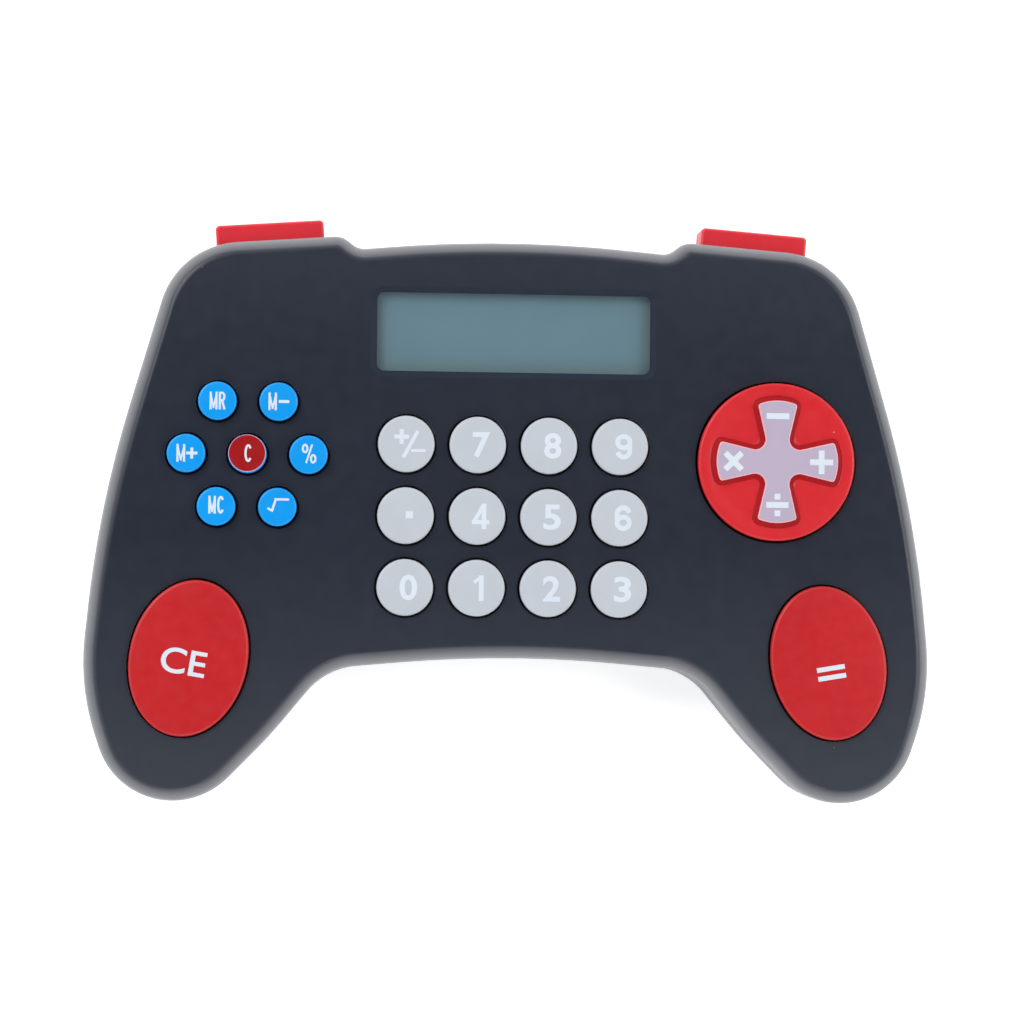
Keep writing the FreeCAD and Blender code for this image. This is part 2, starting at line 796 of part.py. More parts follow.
def display_parts():
    window_y = "sizes.window_y"
    lens_body = new_body("display_lens")
    lens_low = f"{CEILING} + sizes.lens_seat_depth - sizes.lens_thickness"
    lens_sketch = new_sketch(lens_body, "lens_outline", lens_low)
    add_rounded_rectangle(lens_sketch, "0", window_y, "sizes.lens_width", "sizes.lens_height",
                          "sizes.lens_corner")
    pad(lens_body, lens_sketch, "sizes.lens_thickness")

    glass_top = "(sizes.glass_bottom + 2 * sizes.glass_thickness)"
    rear_y = "(sizes.glass_y + sizes.glass_ledge / 2)"
    front_glass = box("lcd_front_glass",
                      ("sizes.glass_width", "sizes.glass_height", "sizes.glass_thickness"),
                      "0", "sizes.glass_y", "sizes.glass_bottom + sizes.glass_thickness")
    rear_glass = box("lcd_rear_glass",
                     ("sizes.glass_width", "sizes.glass_height - sizes.glass_ledge",
                      "sizes.glass_thickness"),
                     "0", rear_y, "sizes.glass_bottom")
    cell = fuse("lcd_cell", [front_glass, rear_glass])
    polariser = box("lcd_polariser", ("sizes.film_width", "sizes.film_height", "sizes.film_thickness"),
                    "0", rear_y, glass_top)
    reflector = box("lcd_reflector", ("sizes.film_width", "sizes.film_height", "sizes.reflector_thickness"),
                    "0", rear_y, "sizes.glass_bottom - sizes.reflector_thickness")

    rim_height = f"sizes.frame_top - {BOARD_TOP}"
    rim = box("lcd_frame_block", ("sizes.frame_width", "sizes.frame_height", rim_height),
              "0", "sizes.glass_y", BOARD_TOP)
    well_width = "sizes.glass_width + 2 * sizes.frame_gap"
    well_height = "sizes.glass_height + 2 * sizes.frame_gap"
    well = box("lcd_frame_well", (well_width, well_height, rim_height), "0", "sizes.glass_y", BOARD_TOP)
    frame = cut("lcd_frame", rim, [well])

    ledge_y = "sizes.glass_y - sizes.glass_height / 2 + sizes.glass_ledge / 2"
    zebra = box("zebra_strip",
                ("sizes.zebra_width", "sizes.zebra_depth",
                 f"sizes.glass_bottom + sizes.glass_thickness - {BOARD_TOP}"),
                "0", ledge_y, BOARD_TOP)
    return [lens_body, cell, polariser, reflector, frame, zebra]


# ---------------------------------------------------------------- circuit board


def main_board():
    level = "sizes.board_bottom"
    thick = "sizes.board_thickness"
    middle = box("board_middle",
                 ("2 * sizes.board_half_width", "sizes.board_high - sizes.board_low", thick),
                 "0", "(sizes.board_high + sizes.board_low) / 2", level)
    head = box("board_head", ("2 * sizes.head_half_width", "sizes.head_high - sizes.board_low", thick),
               "0", "(sizes.head_high + sizes.board_low) / 2", level)
    wings = []
    for name, side in SIDES.items():
        wings.append(box(f"board_wing_{name}",
                         ("sizes.wing_outer - sizes.wing_inner", "sizes.wing_high - sizes.wing_low", thick),
                         f"{side} * (sizes.wing_outer + sizes.wing_inner) / 2",
                         "(sizes.wing_high + sizes.wing_low) / 2", level))
    sheet = fuse("board_sheet", [middle, head] + wings)
    holes = []
    for index, (x, y) in enumerate(post_places()):
        holes.append(cylinder(f"board_hole_{index}", "sizes.board_hole_radius", thick, x, y, level))
    holes.append(cylinder("board_peg_hole", "sizes.pivot_peg_radius + sizes.pivot_gap", thick,
                          "sizes.rocker_x", "sizes.rocker_y", level))
    return cut("main_board", sheet, holes)


def board_screws():
    screws = []
    for index, (x, y) in enumerate(post_places()):
        screws.append(screw(f"board_screw_{index}", "sizes.board_screw_head_radius",
                            "sizes.board_screw_head_height", "sizes.board_screw_radius",
                            "sizes.board_screw_length", x, y,
                            "sizes.board_bottom - sizes.board_screw_head_height"))
    return fuse("board_screws", screws)


def chip_blob():
    """The drop of resin over the chip, under the board."""
    blob = DOC.addObject("Part::Ellipsoid", "chip_blob")
    blob.setExpression("Radius1", "sizes.blob_height")
    blob.setExpression("Radius2", "sizes.blob_radius")
    blob.setExpression("Radius3", "sizes.blob_radius")
    blob.Angle1 = -90
    blob.Angle2 = 0
    blob.setExpression("Placement.Base.x", "sizes.blob_x")
    blob.setExpression("Placement.Base.y", "sizes.blob_y")
    blob.setExpression("Placement.Base.z", "sizes.board_bottom")
    return blob


def circuit_parts():
    """Two capacitors and four chip resistors, under the board and beside the resin drop."""
    parts = []
    for index in range(2):
        parts.append(cylinder(f"capacitor_{index}", "sizes.capacitor_radius", "sizes.capacitor_height",
                              f"sizes.blob_x + sizes.capacitor_offset + {index} * sizes.capacitor_pitch",
                              "sizes.blob_y", "sizes.board_bottom - sizes.capacitor_height"))
    size = ("sizes.resistor_length", "sizes.resistor_width", "sizes.resistor_height")
    for index in range(4):
        parts.append(box(f"resistor_{index}", size, f"sizes.blob_x + {index} * sizes.resistor_pitch",
                         "sizes.blob_y + sizes.resistor_offset",
                         "sizes.board_bottom - sizes.resistor_height"))
    return fuse("circuit_parts", parts)


# ---------------------------------------------------------------- keys


def turned_profile(body, name, points):
    """Revolve a closed profile of (radius, height) expressions about the body's Z axis."""
    sketch = new_sketch(body, f"{name}_profile", plane="XZ_Plane")
    places = [FreeCAD.Vector(value(sketch, r), value(sketch, h), 0) for r, h in points]
    lines = []
    for start, end in zip(places, places[1:] + places[:1]):
        lines.append(sketch.addGeometry(Part.LineSegment(start, end), False))
    for index, line in enumerate(lines):
        sketch.addConstraint(Sketcher.Constraint("Coincident", line, 2, lines[(index + 1) % len(lines)], 1))
    for line, (radius, height) in zip(lines, points):
        dimension(sketch, radius, "DistanceX", -1, 1, line, 1)
        dimension(sketch, height, "DistanceY", -1, 1, line, 1)
    feature = body.newObject("PartDesign::Revolution", f"{name}_revolution")
    feature.Profile = sketch
    feature.ReferenceAxis = (sketch, ["V_Axis"])
    feature.Angle = 360
    return feature


def round_key(name, x, y, radius, flange, top):
    """A round key with a flange that keeps it behind the face."""
    body = new_body(name, x, y)
    low = "sizes.flange_bottom"
    high = f"{low} + sizes.flange_thickness"
    rim = f"{radius} + {flange}"
    points = [("0", low), (rim, low), (rim, high), (radius, high), (radius, f"{top} - sizes.key_crown"),
              ("0", top)]
    turned_profile(body, name, points)
    DOC.recompute()
    edges = flat_edges(body.Shape, value(body, f"{top} - sizes.key_crown"))
    dress(body, "Fillet", edges, Radius="sizes.key_edge")
    return body


def digit_keys():
    keys = []
    for name, (column, row) in DIGIT_KEYS.items():
        x, y = digit_place(column, row)
        keys.append(round_key(name, x, y, "sizes.key_radius", "sizes.key_flange", "sizes.key_top"))
    return keys


def memory_keys():
    keys = []
    for name, (x, y) in memory_places().items():
        keys.append(round_key(name, x, y, "sizes.memory_radius", "sizes.memory_flange",
                              "sizes.memory_top"))
    return keys


def oval_key(name, side):
    body = oval_body(name, side)
    flange = new_sketch(body, f"{name}_flange", "sizes.flange_bottom")
    add_oval(flange, "sizes.oval_flange")
    pad(body, flange, "sizes.flange_thickness")
    cap = new_sketch(body, f"{name}_cap", "sizes.flange_bottom")
    add_oval(cap)
    pad(body, cap, "sizes.oval_top - sizes.flange_bottom")
    DOC.recompute()
    dress(body, "Fillet", flat_edges(body.Shape, SIZES["oval_top"]), Radius="sizes.oval_edge")
    return body


def digit_keymat():
    low, high = "sizes.digit_mat_low", "sizes.digit_mat_high"
    web = box("digit_web", ("sizes.digit_mat_width", f"{high} - {low}", "sizes.mat_thickness"),
              "0", f"({high} + {low}) / 2", BOARD_TOP)
    domes = []
    for name, (column, row) in DIGIT_KEYS.items():
        x, y = digit_place(column, row)
        domes.append(dome(f"{name}_dome", "sizes.digit_dome_radius", "sizes.digit_dome_tip",
                          "sizes.dome_top", x, y))
    return fuse("digit_keymat", [web] + domes)


def memory_keymat():
    web = cylinder("memory_web", "sizes.memory_mat_radius", "sizes.mat_thickness",
                   "-sizes.cluster_x", "sizes.cluster_y", BOARD_TOP)
    domes = []
    for name, (x, y) in memory_places().items():
        domes.append(dome(f"{name}_dome", "sizes.memory_dome_radius", "sizes.memory_dome_tip",
                          "sizes.dome_top", x, y))
    return fuse("memory_keymat", [web] + domes)


def oval_mat(name, side):
    x = f"{side} * sizes.oval_x"
    y = "sizes.oval_y"
    web = cylinder(f"{name}_web", "sizes.oval_mat_radius", "sizes.mat_thickness", x, y, BOARD_TOP)
    bump = dome(f"{name}_dome", "sizes.oval_dome_radius", "sizes.oval_dome_tip", "sizes.dome_top", x, y)
    return fuse(name, [web, bump])


# ---------------------------------------------------------------- rocker


def ball(name, radius, x, y):
    sphere = DOC.addObject("Part::Sphere", name)
    sphere.setExpression("Radius", radius)
    sphere.setExpression("Placement.Base.x", x)
    sphere.setExpression("Placement.Base.y", y)
    sphere.setExpression("Placement.Base.z", "sizes.pivot_height")
    return sphere


def rocker_disc():
    body = new_body("rocker_disc_body", "sizes.rocker_x", "sizes.rocker_y")
    low = "sizes.rocker_bottom"
    shelf = f"{low} + sizes.rocker_flange_thickness"
    shoulder = "sizes.rocker_top"
    points = [("sizes.rocker_recess_radius", low), ("sizes.rocker_flange_radius", low),
              ("sizes.rocker_flange_radius", shelf), ("sizes.rocker_radius", shelf),
              ("sizes.rocker_radius", shoulder), ("0", f"{shoulder} - sizes.rocker_dish"),
              ("0", "sizes.rocker_recess_top"), ("sizes.rocker_recess_radius", "sizes.rocker_recess_top")]
    turned_profile(body, "rocker_disc", points)
    DOC.recompute()
    dress(body, "Fillet", flat_edges(body.Shape, SIZES["rocker_top"]), Radius="sizes.rocker_edge")
    plinth = new_sketch(body, "rocker_plinth", "sizes.rocker_top - sizes.rocker_dish - sizes.plinth_root")
    add_cross(plinth, "sizes.cross_skirt")
    rise = "(sizes.plinth_height + sizes.plinth_root)"
    raised = pad(body, plinth, rise)
    raised.setExpression("TaperAngle", f"-atan(sizes.cross_skirt / {rise})")
    socket = ball("rocker_socket", "sizes.pivot_radius + sizes.pivot_gap", "sizes.rocker_x",
                  "sizes.rocker_y")
    return cut("rocker_disc", body, [socket])


def rocker_cross():
    body = new_body("rocker_cross", "sizes.rocker_x", "sizes.rocker_y")
    sketch = new_sketch(body, "cross_outline", "sizes.rocker_top - sizes.rocker_dish + sizes.plinth_height")
    add_cross(sketch)
    pad(body, sketch, "sizes.cross_thickness")
    return body


def rocker_post():
    """A post pegged into the board, with a cup that the pivot ball turns in."""
    x, y = "sizes.rocker_x", "sizes.rocker_y"
    column = cylinder("rocker_post_column", "sizes.pivot_post_radius",
                      f"sizes.pivot_post_top - {BOARD_TOP}", x, y, BOARD_TOP)
    peg = cylinder("rocker_post_peg", "sizes.pivot_peg_radius", "sizes.pivot_peg_length", x, y,
                   f"{BOARD_TOP} - sizes.pivot_peg_length")
    solid = fuse("rocker_post_solid", [column, peg])
    return cut("rocker_post", solid, [ball("rocker_cup", "sizes.pivot_radius + sizes.pivot_gap", x, y)])


def rocker_mat():
    x, y = "sizes.rocker_x", "sizes.rocker_y"
    disc = cylinder("rocker_web", "sizes.rocker_mat_radius", "sizes.mat_thickness", x, y, BOARD_TOP)
    domes = []
    for index in range(4):
        dome_x = f"{x} + sizes.rocker_dome_reach * cos({90 * index} deg)"
        dome_y = f"{y} + sizes.rocker_dome_reach * sin({90 * index} deg)"
        domes.append(dome(f"rocker_dome_{index}", "sizes.rocker_dome_radius", "sizes.rocker_dome_tip",
                          "sizes.rocker_dome_top", dome_x, dome_y))
    sheet = fuse("rocker_sheet", [disc] + domes)
    hole = cylinder("rocker_mat_opening", "sizes.rocker_mat_hole", "sizes.mat_thickness", x, y, BOARD_TOP)
    return cut("rocker_mat", sheet, [hole])


# ---------------------------------------------------------------- shoulder buttons


def shoulder_button(name, side):
    body = button_body(name, side)
    cap = new_sketch(body, f"{name}_cap", "sizes.parting_height - sizes.button_height / 2")
    add_rounded_rectangle(cap, "0", "(sizes.button_reach - sizes.button_inside) / 2", "sizes.button_width",
                          "sizes.button_reach + sizes.button_inside", "sizes.button_corner")
    pad(body, cap, "sizes.button_height")
    DOC.recompute()
    half = SIZES["button_height"] / 2
    rims = flat_edges(body.Shape, SIZES["parting_height"] + half)
    rims += flat_edges(body.Shape, SIZES["parting_height"] - half)
    dress(body, "Fillet", rims, Radius="sizes.button_edge")
    flange = new_sketch(body, f"{name}_flange",
                        "sizes.parting_height - sizes.button_height / 2 - sizes.button_flange / 2")
    add_rounded_rectangle(flange, "0", "-sizes.button_inside + sizes.button_flange_depth / 2",
                          "sizes.button_width", "sizes.button_flange_depth", "sizes.inner_corner")
    pad(body, flange, "sizes.button_height + sizes.button_flange")
    return body


def plunger_section(body, name, radius, depth):
    """The round section of a rod along the button's travel, at a depth inside the case."""
    sketch = new_sketch(body, f"{name}_section", depth, plane="XZ_Plane")
    add_circle(sketch, "0", "sizes.plunger_height", radius)
    return sketch


def switch_plunger(name, side):
    body = button_body(name, side)
    depth = "sizes.switch_face + sizes.plunger_sunk"
    section = plunger_section(body, name, "sizes.plunger_radius", depth)
    pad(body, section, f"{depth} - sizes.button_inside", forwards=False)
    return body


def shoulder_switch(name, side):
    body = button_body(name, side)
    housing = new_sketch(body, f"{name}_housing", "sizes.board_bottom - sizes.switch_height")
    add_rounded_rectangle(housing, "0", "-(sizes.switch_face + sizes.switch_depth / 2)",
                          "sizes.switch_width", "sizes.switch_depth", "sizes.inner_corner")
    pad(body, housing, "sizes.switch_height")
    hole = plunger_section(body, name, "sizes.plunger_radius + sizes.plunger_gap", "sizes.switch_face")
    pocket(body, hole, "sizes.plunger_hole_depth", forwards=True)
    return body


# ---------------------------------------------------------------- battery


def battery_door():
    body = new_body("battery_door")
    plate = new_sketch(body, "door_outline", "sizes.door_sink")
    add_rounded_rectangle(plate, "0", "sizes.bay_y", "sizes.door_width", "sizes.door_depth",
                          "sizes.door_corner")
    pad(body, plate, "sizes.door_thickness")
    bores = new_sketch(body, "door_head_bores", "sizes.door_sink")
    holes = new_sketch(body, "door_screw_holes", "sizes.door_sink")
    for side in SIDES.values():
        add_circle(bores, f"{side} * sizes.door_screw_x", "sizes.bay_y", "sizes.door_bore_radius")
        add_circle(holes, f"{side} * sizes.door_screw_x", "sizes.bay_y", "sizes.door_hole_radius")
    pocket(body, bores, "sizes.door_bore_depth", forwards=True)
    pocket(body, holes, "sizes.door_thickness", forwards=True)
    grip = new_sketch(body, "door_grip_grooves", "sizes.door_sink")
    for step in (-1, 0, 1):
        add_rounded_rectangle(grip, "0", f"sizes.bay_y + {step} * sizes.grip_rib_pitch",
                              "sizes.grip_rib_length", "sizes.grip_rib_width", "sizes.grip_rib_corner")
    pocket(body, grip, "sizes.grip_rib_depth", forwards=True)
    return body


def battery_door_screws():
    screws = []
    for name, side in SIDES.items():
        screws.append(screw(f"door_screw_{name}", "sizes.door_screw_head_radius",
                            "sizes.door_screw_head_height", "sizes.door_screw_radius",
                            "sizes.door_screw_length", f"{side} * sizes.door_screw_x", "sizes.bay_y",
                            "sizes.door_screw_sink"))
    return fuse("battery_door_screws", screws)


def battery_cell():
    can = cylinder("cell_can", "sizes.cell_radius", "sizes.cell_height - sizes.cell_cap_height",
                   "0", "sizes.bay_y", "sizes.cell_bottom")
    cap = cylinder("cell_cap", "sizes.cell_cap_radius", "sizes.cell_height", "0", "sizes.bay_y",
                   "sizes.cell_bottom")
    return fuse("battery_cell", [can, cap])


def battery_contacts():
    thick = "sizes.contact_thickness"
    wide = "sizes.contact_width"
    side_leaf = box("battery_contact_positive", (thick, wide, "sizes.board_bottom - sizes.cell_bottom"),
                    CONTACT_REACH, "sizes.bay_y", "sizes.cell_bottom")
    cell_top = "(sizes.cell_bottom + sizes.cell_height + sizes.contact_gap)"
    leg = box("negative_leg", (thick, wide, f"sizes.board_bottom - {cell_top}"), f"-{CONTACT_REACH}",
              "sizes.bay_y", cell_top)
    leaf = box("negative_leaf", (f"{CONTACT_REACH} + sizes.contact_leaf", wide, thick),
               f"-({CONTACT_REACH} - sizes.contact_leaf) / 2", "sizes.bay_y", cell_top)
    return [side_leaf, fuse("battery_contact_negative", [leg, leaf])]


# ---------------------------------------------------------------- whole calculator


def build():
    fill_sheet()
    parts = [front_shell(), rear_shell(), case_screws()]
    parts += display_parts()
    parts += [main_board(), board_screws(), chip_blob(), circuit_parts()]
    parts += digit_keys()
    parts += memory_keys()
    parts += [oval_key("ce_key", -1), oval_key("equals_key", 1)]
    parts += [digit_keymat(), memory_keymat(), oval_mat("ce_mat", -1), oval_mat("equals_mat", 1)]
    parts += [rocker_disc(), rocker_cross(), rocker_post(), rocker_mat()]
    parts.append(ball("rocker_pivot", "sizes.pivot_radius", "sizes.rocker_x", "sizes.rocker_y"))
    for name, side in SIDES.items():
        parts.append(shoulder_button(f"shoulder_button_{name}", side))
        parts.append(switch_plunger(f"switch_plunger_{name}", side))
        parts.append(shoulder_switch(f"shoulder_switch_{name}", side))
    parts += [battery_door(), battery_door_screws(), battery_cell()]
    parts += battery_contacts()
    DOC.recompute()
    return parts


def check(parts):
    for item in DOC.Objects:
        if {"Invalid", "Error"} & set(item.State):
            raise RuntimeError(f"{item.Label} did not recompute: {item.State}")
    labels = [part.Label for part in parts]
    if len(set(labels)) != len(labels):
        raise RuntimeError("two parts share a label")
    for part in parts:
        if part.Shape.isNull() or not part.Shape.isValid() or not part.Shape.Solids:
            raise RuntimeError(f"{part.Label} has no valid solid")


def export(parts):
    os.makedirs("parts", exist_ok=True)
    for part in parts:
        part.Shape.exportStep(f"parts/{part.Label}.step")
        print(f"{part.Label}: {len(part.Shape.Solids)} solid(s), {part.Shape.Volume:.1f} mm3")


calculator = build()
check(calculator)
export(calculator)
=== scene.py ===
import json
import math

import bmesh
import bpy
from mathutils import Matrix, Vector


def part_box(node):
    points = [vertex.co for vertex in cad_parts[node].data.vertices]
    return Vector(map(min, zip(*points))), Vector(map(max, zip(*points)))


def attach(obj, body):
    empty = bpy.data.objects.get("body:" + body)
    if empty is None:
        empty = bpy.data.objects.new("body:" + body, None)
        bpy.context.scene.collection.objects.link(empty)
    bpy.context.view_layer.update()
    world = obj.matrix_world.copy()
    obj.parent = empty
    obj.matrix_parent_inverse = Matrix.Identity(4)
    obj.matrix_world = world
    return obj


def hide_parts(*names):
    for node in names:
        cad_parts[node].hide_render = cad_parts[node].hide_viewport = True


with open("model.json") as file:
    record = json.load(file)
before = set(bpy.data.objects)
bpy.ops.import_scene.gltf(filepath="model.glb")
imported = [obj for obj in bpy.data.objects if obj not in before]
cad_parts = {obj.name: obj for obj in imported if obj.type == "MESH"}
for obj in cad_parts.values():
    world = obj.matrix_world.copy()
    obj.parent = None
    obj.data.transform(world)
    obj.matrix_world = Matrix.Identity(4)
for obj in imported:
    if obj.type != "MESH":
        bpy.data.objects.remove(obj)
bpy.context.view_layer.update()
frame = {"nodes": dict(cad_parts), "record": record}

# The looks of a pocket calculator shaped like a two-handed game controller. Lengths are in metres, and
# MM turns millimetres into them. The nodes of the frame give every place; a cap, legend or print that is
# made here takes its place from its own key's node.

MM = 0.001
NODES = frame["nodes"]
BODIES = frame["record"]["behaviour"]["bodies"]
SLOTS = {row["node"]: row["material_slot"] for row in frame["record"]["subparts"]}

# Key caps
RING_STEPS = 96
EDGE_STEPS = 8
CROWN_STEPS = 6
DIGIT_FLANGE = 0.86 * MM
MEMORY_FLANGE = 0.78 * MM
OVAL_FLANGE = 0.8 * MM
FLANGE_HEIGHT = 0.9 * MM
DIGIT_EDGE = 0.45 * MM
MEMORY_EDGE = 0.35 * MM
OVAL_EDGE = 0.55 * MM
DIGIT_CROWN = 0.05 * MM
MEMORY_CROWN = 0.04 * MM
OVAL_CROWN = 0.10 * MM
OVAL_TILT = math.radians(11)
OVAL_HALF_WIDTH = 9.8 * MM
OVAL_HALF_LENGTH = 13.1 * MM
FILM = 0.03 * MM
CREASE = math.radians(50)
# The keys are darkened between these heights: painted shade in the gaps round them.
FOOT_LOW = 13.95 * MM
DIGIT_FOOT_HIGH = 14.15 * MM
RED_FOOT_HIGH = 14.2 * MM
MEMORY_FOOT = (14.1 * MM, 14.6 * MM)

# Rocker: the cross's outline is made of tip, corner and inner arcs that its straight sides join
CROSS_TIP_RADIUS = 8.6 * MM
CROSS_TIP_Y = 1.75 * MM
CROSS_CORNER = Vector((2.79, 9.352)) * MM
CROSS_CORNER_RADIUS = 0.5 * MM
CROSS_INNER = Vector((3.8, 3.8)) * MM
CROSS_INNER_RADIUS = 1.75 * MM
CROSS_EDGE = 0.2 * MM
CROSS_SKIRT = 0.85 * MM
CROSS_SEAM = 0.05 * MM
CROSS_OVERLAP = 0.2 * MM
ROCKER_FLANGE = 0.85 * MM
ROCKER_FLANGE_HEIGHT = 0.7 * MM
ROCKER_EDGE = 0.5 * MM
ROCKER_RIM = 2.4 * MM
ROCKER_RIM_FLAT = 0.4
ROCKER_DROP = 0.45 * MM
ROCKER_DISH = 0.2 * MM
ROCKER_RECESS = 4.2 * MM
ROCKER_RECESS_TOP = 11.5 * MM
SOCKET_RADIUS = 2.25 * MM
SOCKET_HEIGHT = 11.8 * MM
ROCKER_STEPS = 10

# Lettering
DIGIT_HEIGHT = 4.3 * MM
DIGIT_WIDTH = 2.95 * MM
DIGIT_SHIFT = 0.57
DIGIT_WEIGHT = 0.026
DIGIT_LINE = 0.82
CURVE_STEPS = 20
BOW_OVERLAP = 0.35
BAR_LAYERS = 7
LAYER_STEP = 0.05
MEMORY_HEIGHT = 2.95
MEMORY_LINE = 0.36
PRINT_RADIUS = 3.0 * MM
PRINT_RIM_RADIUS = 3.1 * MM
SUNK = 0.02 * MM
OVAL_LETTER_TURN = math.radians(9.5)

# Camera
TARGET = Vector((0.04, -0.3, 12.0)) * MM
DISTANCE = 460 * MM
FROM_LEFT = math.radians(4.4)
FROM_BELOW = math.radians(1.9)
ROLL = math.radians(0.55)
LENS = 95.9
SENSOR = 36.0
NEAR = 0.01
FAR = 10.0

# The case's paint is toned paler in bands in y and z, towards the grips' ends, the display edge and the
# rim. These bands are painted light: they stand in for soft light and, on the rim, for reflection that the
# lamps here don't give. The window's bevel gets a duller, darker finish, as painted shade.
GRIP_BAND = (-50 * MM, -6 * MM)
HEAD_BAND = (26 * MM, 46 * MM)
HEAD_SHARE = 0.35
PAINTED_LIGHT_TONE = (0.040, 0.046, 0.062)
RIM_START = 11.3 * MM
RIM_FOOT = 12.1 * MM
RIM_HEAD = 13.85 * MM
PAINTED_RIM_LIGHT = (0.25, 0.255, 0.27)
BEVEL_REACH = 1.5 * MM
BEVEL_LEAN = (0.2, 0.95)

# The painted shade in the gaps round the keys, and the dust
PAINTED_GAP_SHADE = (0.002, 0.002, 0.003)
GAP_SHADE_SHARE = 0.88
DUST_RADIUS = 0.15 * MM

# The display's greener border
DISPLAY_HALF = (22.75 * MM, 6.5 * MM)
DISPLAY_BORDER = 1.6 * MM


# ---------------------------------------------------------------- materials


def node(tree, kind, inputs=(), **settings):
    """Add a shader node, set its properties and its inputs by name."""
    made = tree.nodes.new(kind)
    for name, value in settings.items():
        setattr(made, name, value)
    for name, value in dict(inputs).items():
        made.inputs[name].default_value = value
    return made


def shader(name):
    """A new material with a principled shader, and the object coordinates that its patterns read."""
    material = bpy.data.materials.new(name)
    material.use_nodes = True
    tree = material.node_tree
    tree.nodes.clear()
    surface = node(tree, "ShaderNodeBsdfPrincipled")
    output = node(tree, "ShaderNodeOutputMaterial")
    tree.links.new(surface.outputs["BSDF"], output.inputs["Surface"])
    place = node(tree, "ShaderNodeTexCoord").outputs["Object"]
    return material, tree, surface, place


def noise(tree, place, size, detail=3.0):
    """A noise pattern whose blotches are about one size across."""
    made = node(tree, "ShaderNodeTexNoise", {"Scale": 1 / size, "Detail": detail})
    tree.links.new(place, made.inputs["Vector"])
    return made.outputs["Fac"]


def between(tree, source, low, high, start=0.3, end=0.7):
    """Spread a pattern's values between two numbers."""
    made = node(tree, "ShaderNodeMapRange",
                {"From Min": start, "From Max": end, "To Min": low, "To Max": high})
    tree.links.new(source, made.inputs["Value"])
    return made.outputs["Result"]


def mix_colours(tree, share, first, second):
    """Mix two colours, each a tuple or a socket, by a socket's value."""
    made = node(tree, "ShaderNodeMix", data_type="RGBA")
    tree.links.new(share, made.inputs["Factor"])
    for name, colour in (("A", first), ("B", second)):
        socket = next(s for s in made.inputs if s.name == name and s.type == "RGBA")
        if isinstance(colour, tuple):
            socket.default_value = (*colour, 1)
        else:
            tree.links.new(colour, socket)
    return next(s for s in made.outputs if s.type == "RGBA")


def scaled(colour, share):
    return tuple(min(1.0, channel * share) for channel in colour)


def add_bump(tree, surface, height, depth):
    made = node(tree, "ShaderNodeBump", {"Strength": 1.0, "Distance": depth})
    tree.links.new(height, made.inputs["Height"])
    tree.links.new(made.outputs["Normal"], surface.inputs["Normal"])


def moulded(name, colour, rough, grain, relief, mottle=0.05, blotch=9 * MM, **sockets):
    """A moulded surface: blotches of two tones, a fine grain and a roughness that wanders."""
    material, tree, surface, place = shader(name)
    tone = noise(tree, place, blotch)
    share = between(tree, tone, 0, 1)
    colours = mix_colours(tree, share, scaled(colour, 1 - mottle), scaled(colour, 1 + mottle))
    tree.links.new(colours, surface.inputs["Base Color"])
    wander = noise(tree, place, blotch / 5)
    tree.links.new(between(tree, wander, *rough), surface.inputs["Roughness"])
    add_bump(tree, surface, noise(tree, place, grain, 2.0), relief)
    for socket, value in sockets.items():
        surface.inputs[socket.replace("_", " ")].default_value = value
    return material


def parts_of(material):
    """A finished material's tree, its shader, its object coordinates and its colour."""
    tree = material.node_tree
    surface = next(n for n in tree.nodes if n.type == "BSDF_PRINCIPLED")
    place = next(n for n in tree.nodes if n.type == "TEX_COORD").outputs["Object"]
    return tree, surface, place, surface.inputs["Base Color"].links[0].from_socket


def split_place(tree, place):
    """The x, y and z of a place, as sockets."""
    split = node(tree, "ShaderNodeSeparateXYZ")
    tree.links.new(place, split.inputs["Vector"])
    return split.outputs


def join(tree, operation, *sockets):
    """Two sockets' values joined by a maths operation."""
    made = node(tree, "ShaderNodeMath", operation=operation)
    for socket, value in zip(made.inputs, sockets):
        tree.links.new(value, socket)
    return made.outputs["Value"]


def specks(tree, place, spacing, radius, kept):
    """Small round specks, about one in each cell of the spacing, of which a share is kept."""
    cells = node(tree, "ShaderNodeTexVoronoi", {"Scale": 1 / spacing, "Randomness": 1.0})
    tree.links.new(place, cells.inputs["Vector"])
    spot = between(tree, cells.outputs["Distance"], 1, 0, radius / spacing * 0.5, radius / spacing)
    chosen = node(tree, "ShaderNodeSeparateColor")
    tree.links.new(cells.outputs["Color"], chosen.inputs["Color"])
    keep = between(tree, chosen.outputs["Red"], 1, 0, kept, kept + 0.001)
    return join(tree, "MULTIPLY", spot, keep)


def dusted(material, dust_colour, spacing, kept):
    """Scatter a little dust over a material."""
    tree, surface, place, colour = parts_of(material)
    dust = specks(tree, place, spacing, DUST_RADIUS, kept)
    tree.links.new(mix_colours(tree, dust, colour, dust_colour), surface.inputs["Base Color"])
    return material


def shaded_foot(material, low, high):
    """Darken a material below a height: painted shade in the gap round a key."""
    tree, surface, place, colour = parts_of(material)
    share = between(tree, split_place(tree, place)["Z"], 0, 1, low, high)
    strength = node(tree, "ShaderNodeValue")
    strength.outputs["Value"].default_value = GAP_SHADE_SHARE
    dark = mix_colours(tree, strength.outputs["Value"], colour, PAINTED_GAP_SHADE)
    tree.links.new(mix_colours(tree, share, dark, colour), surface.inputs["Base Color"])
    return material


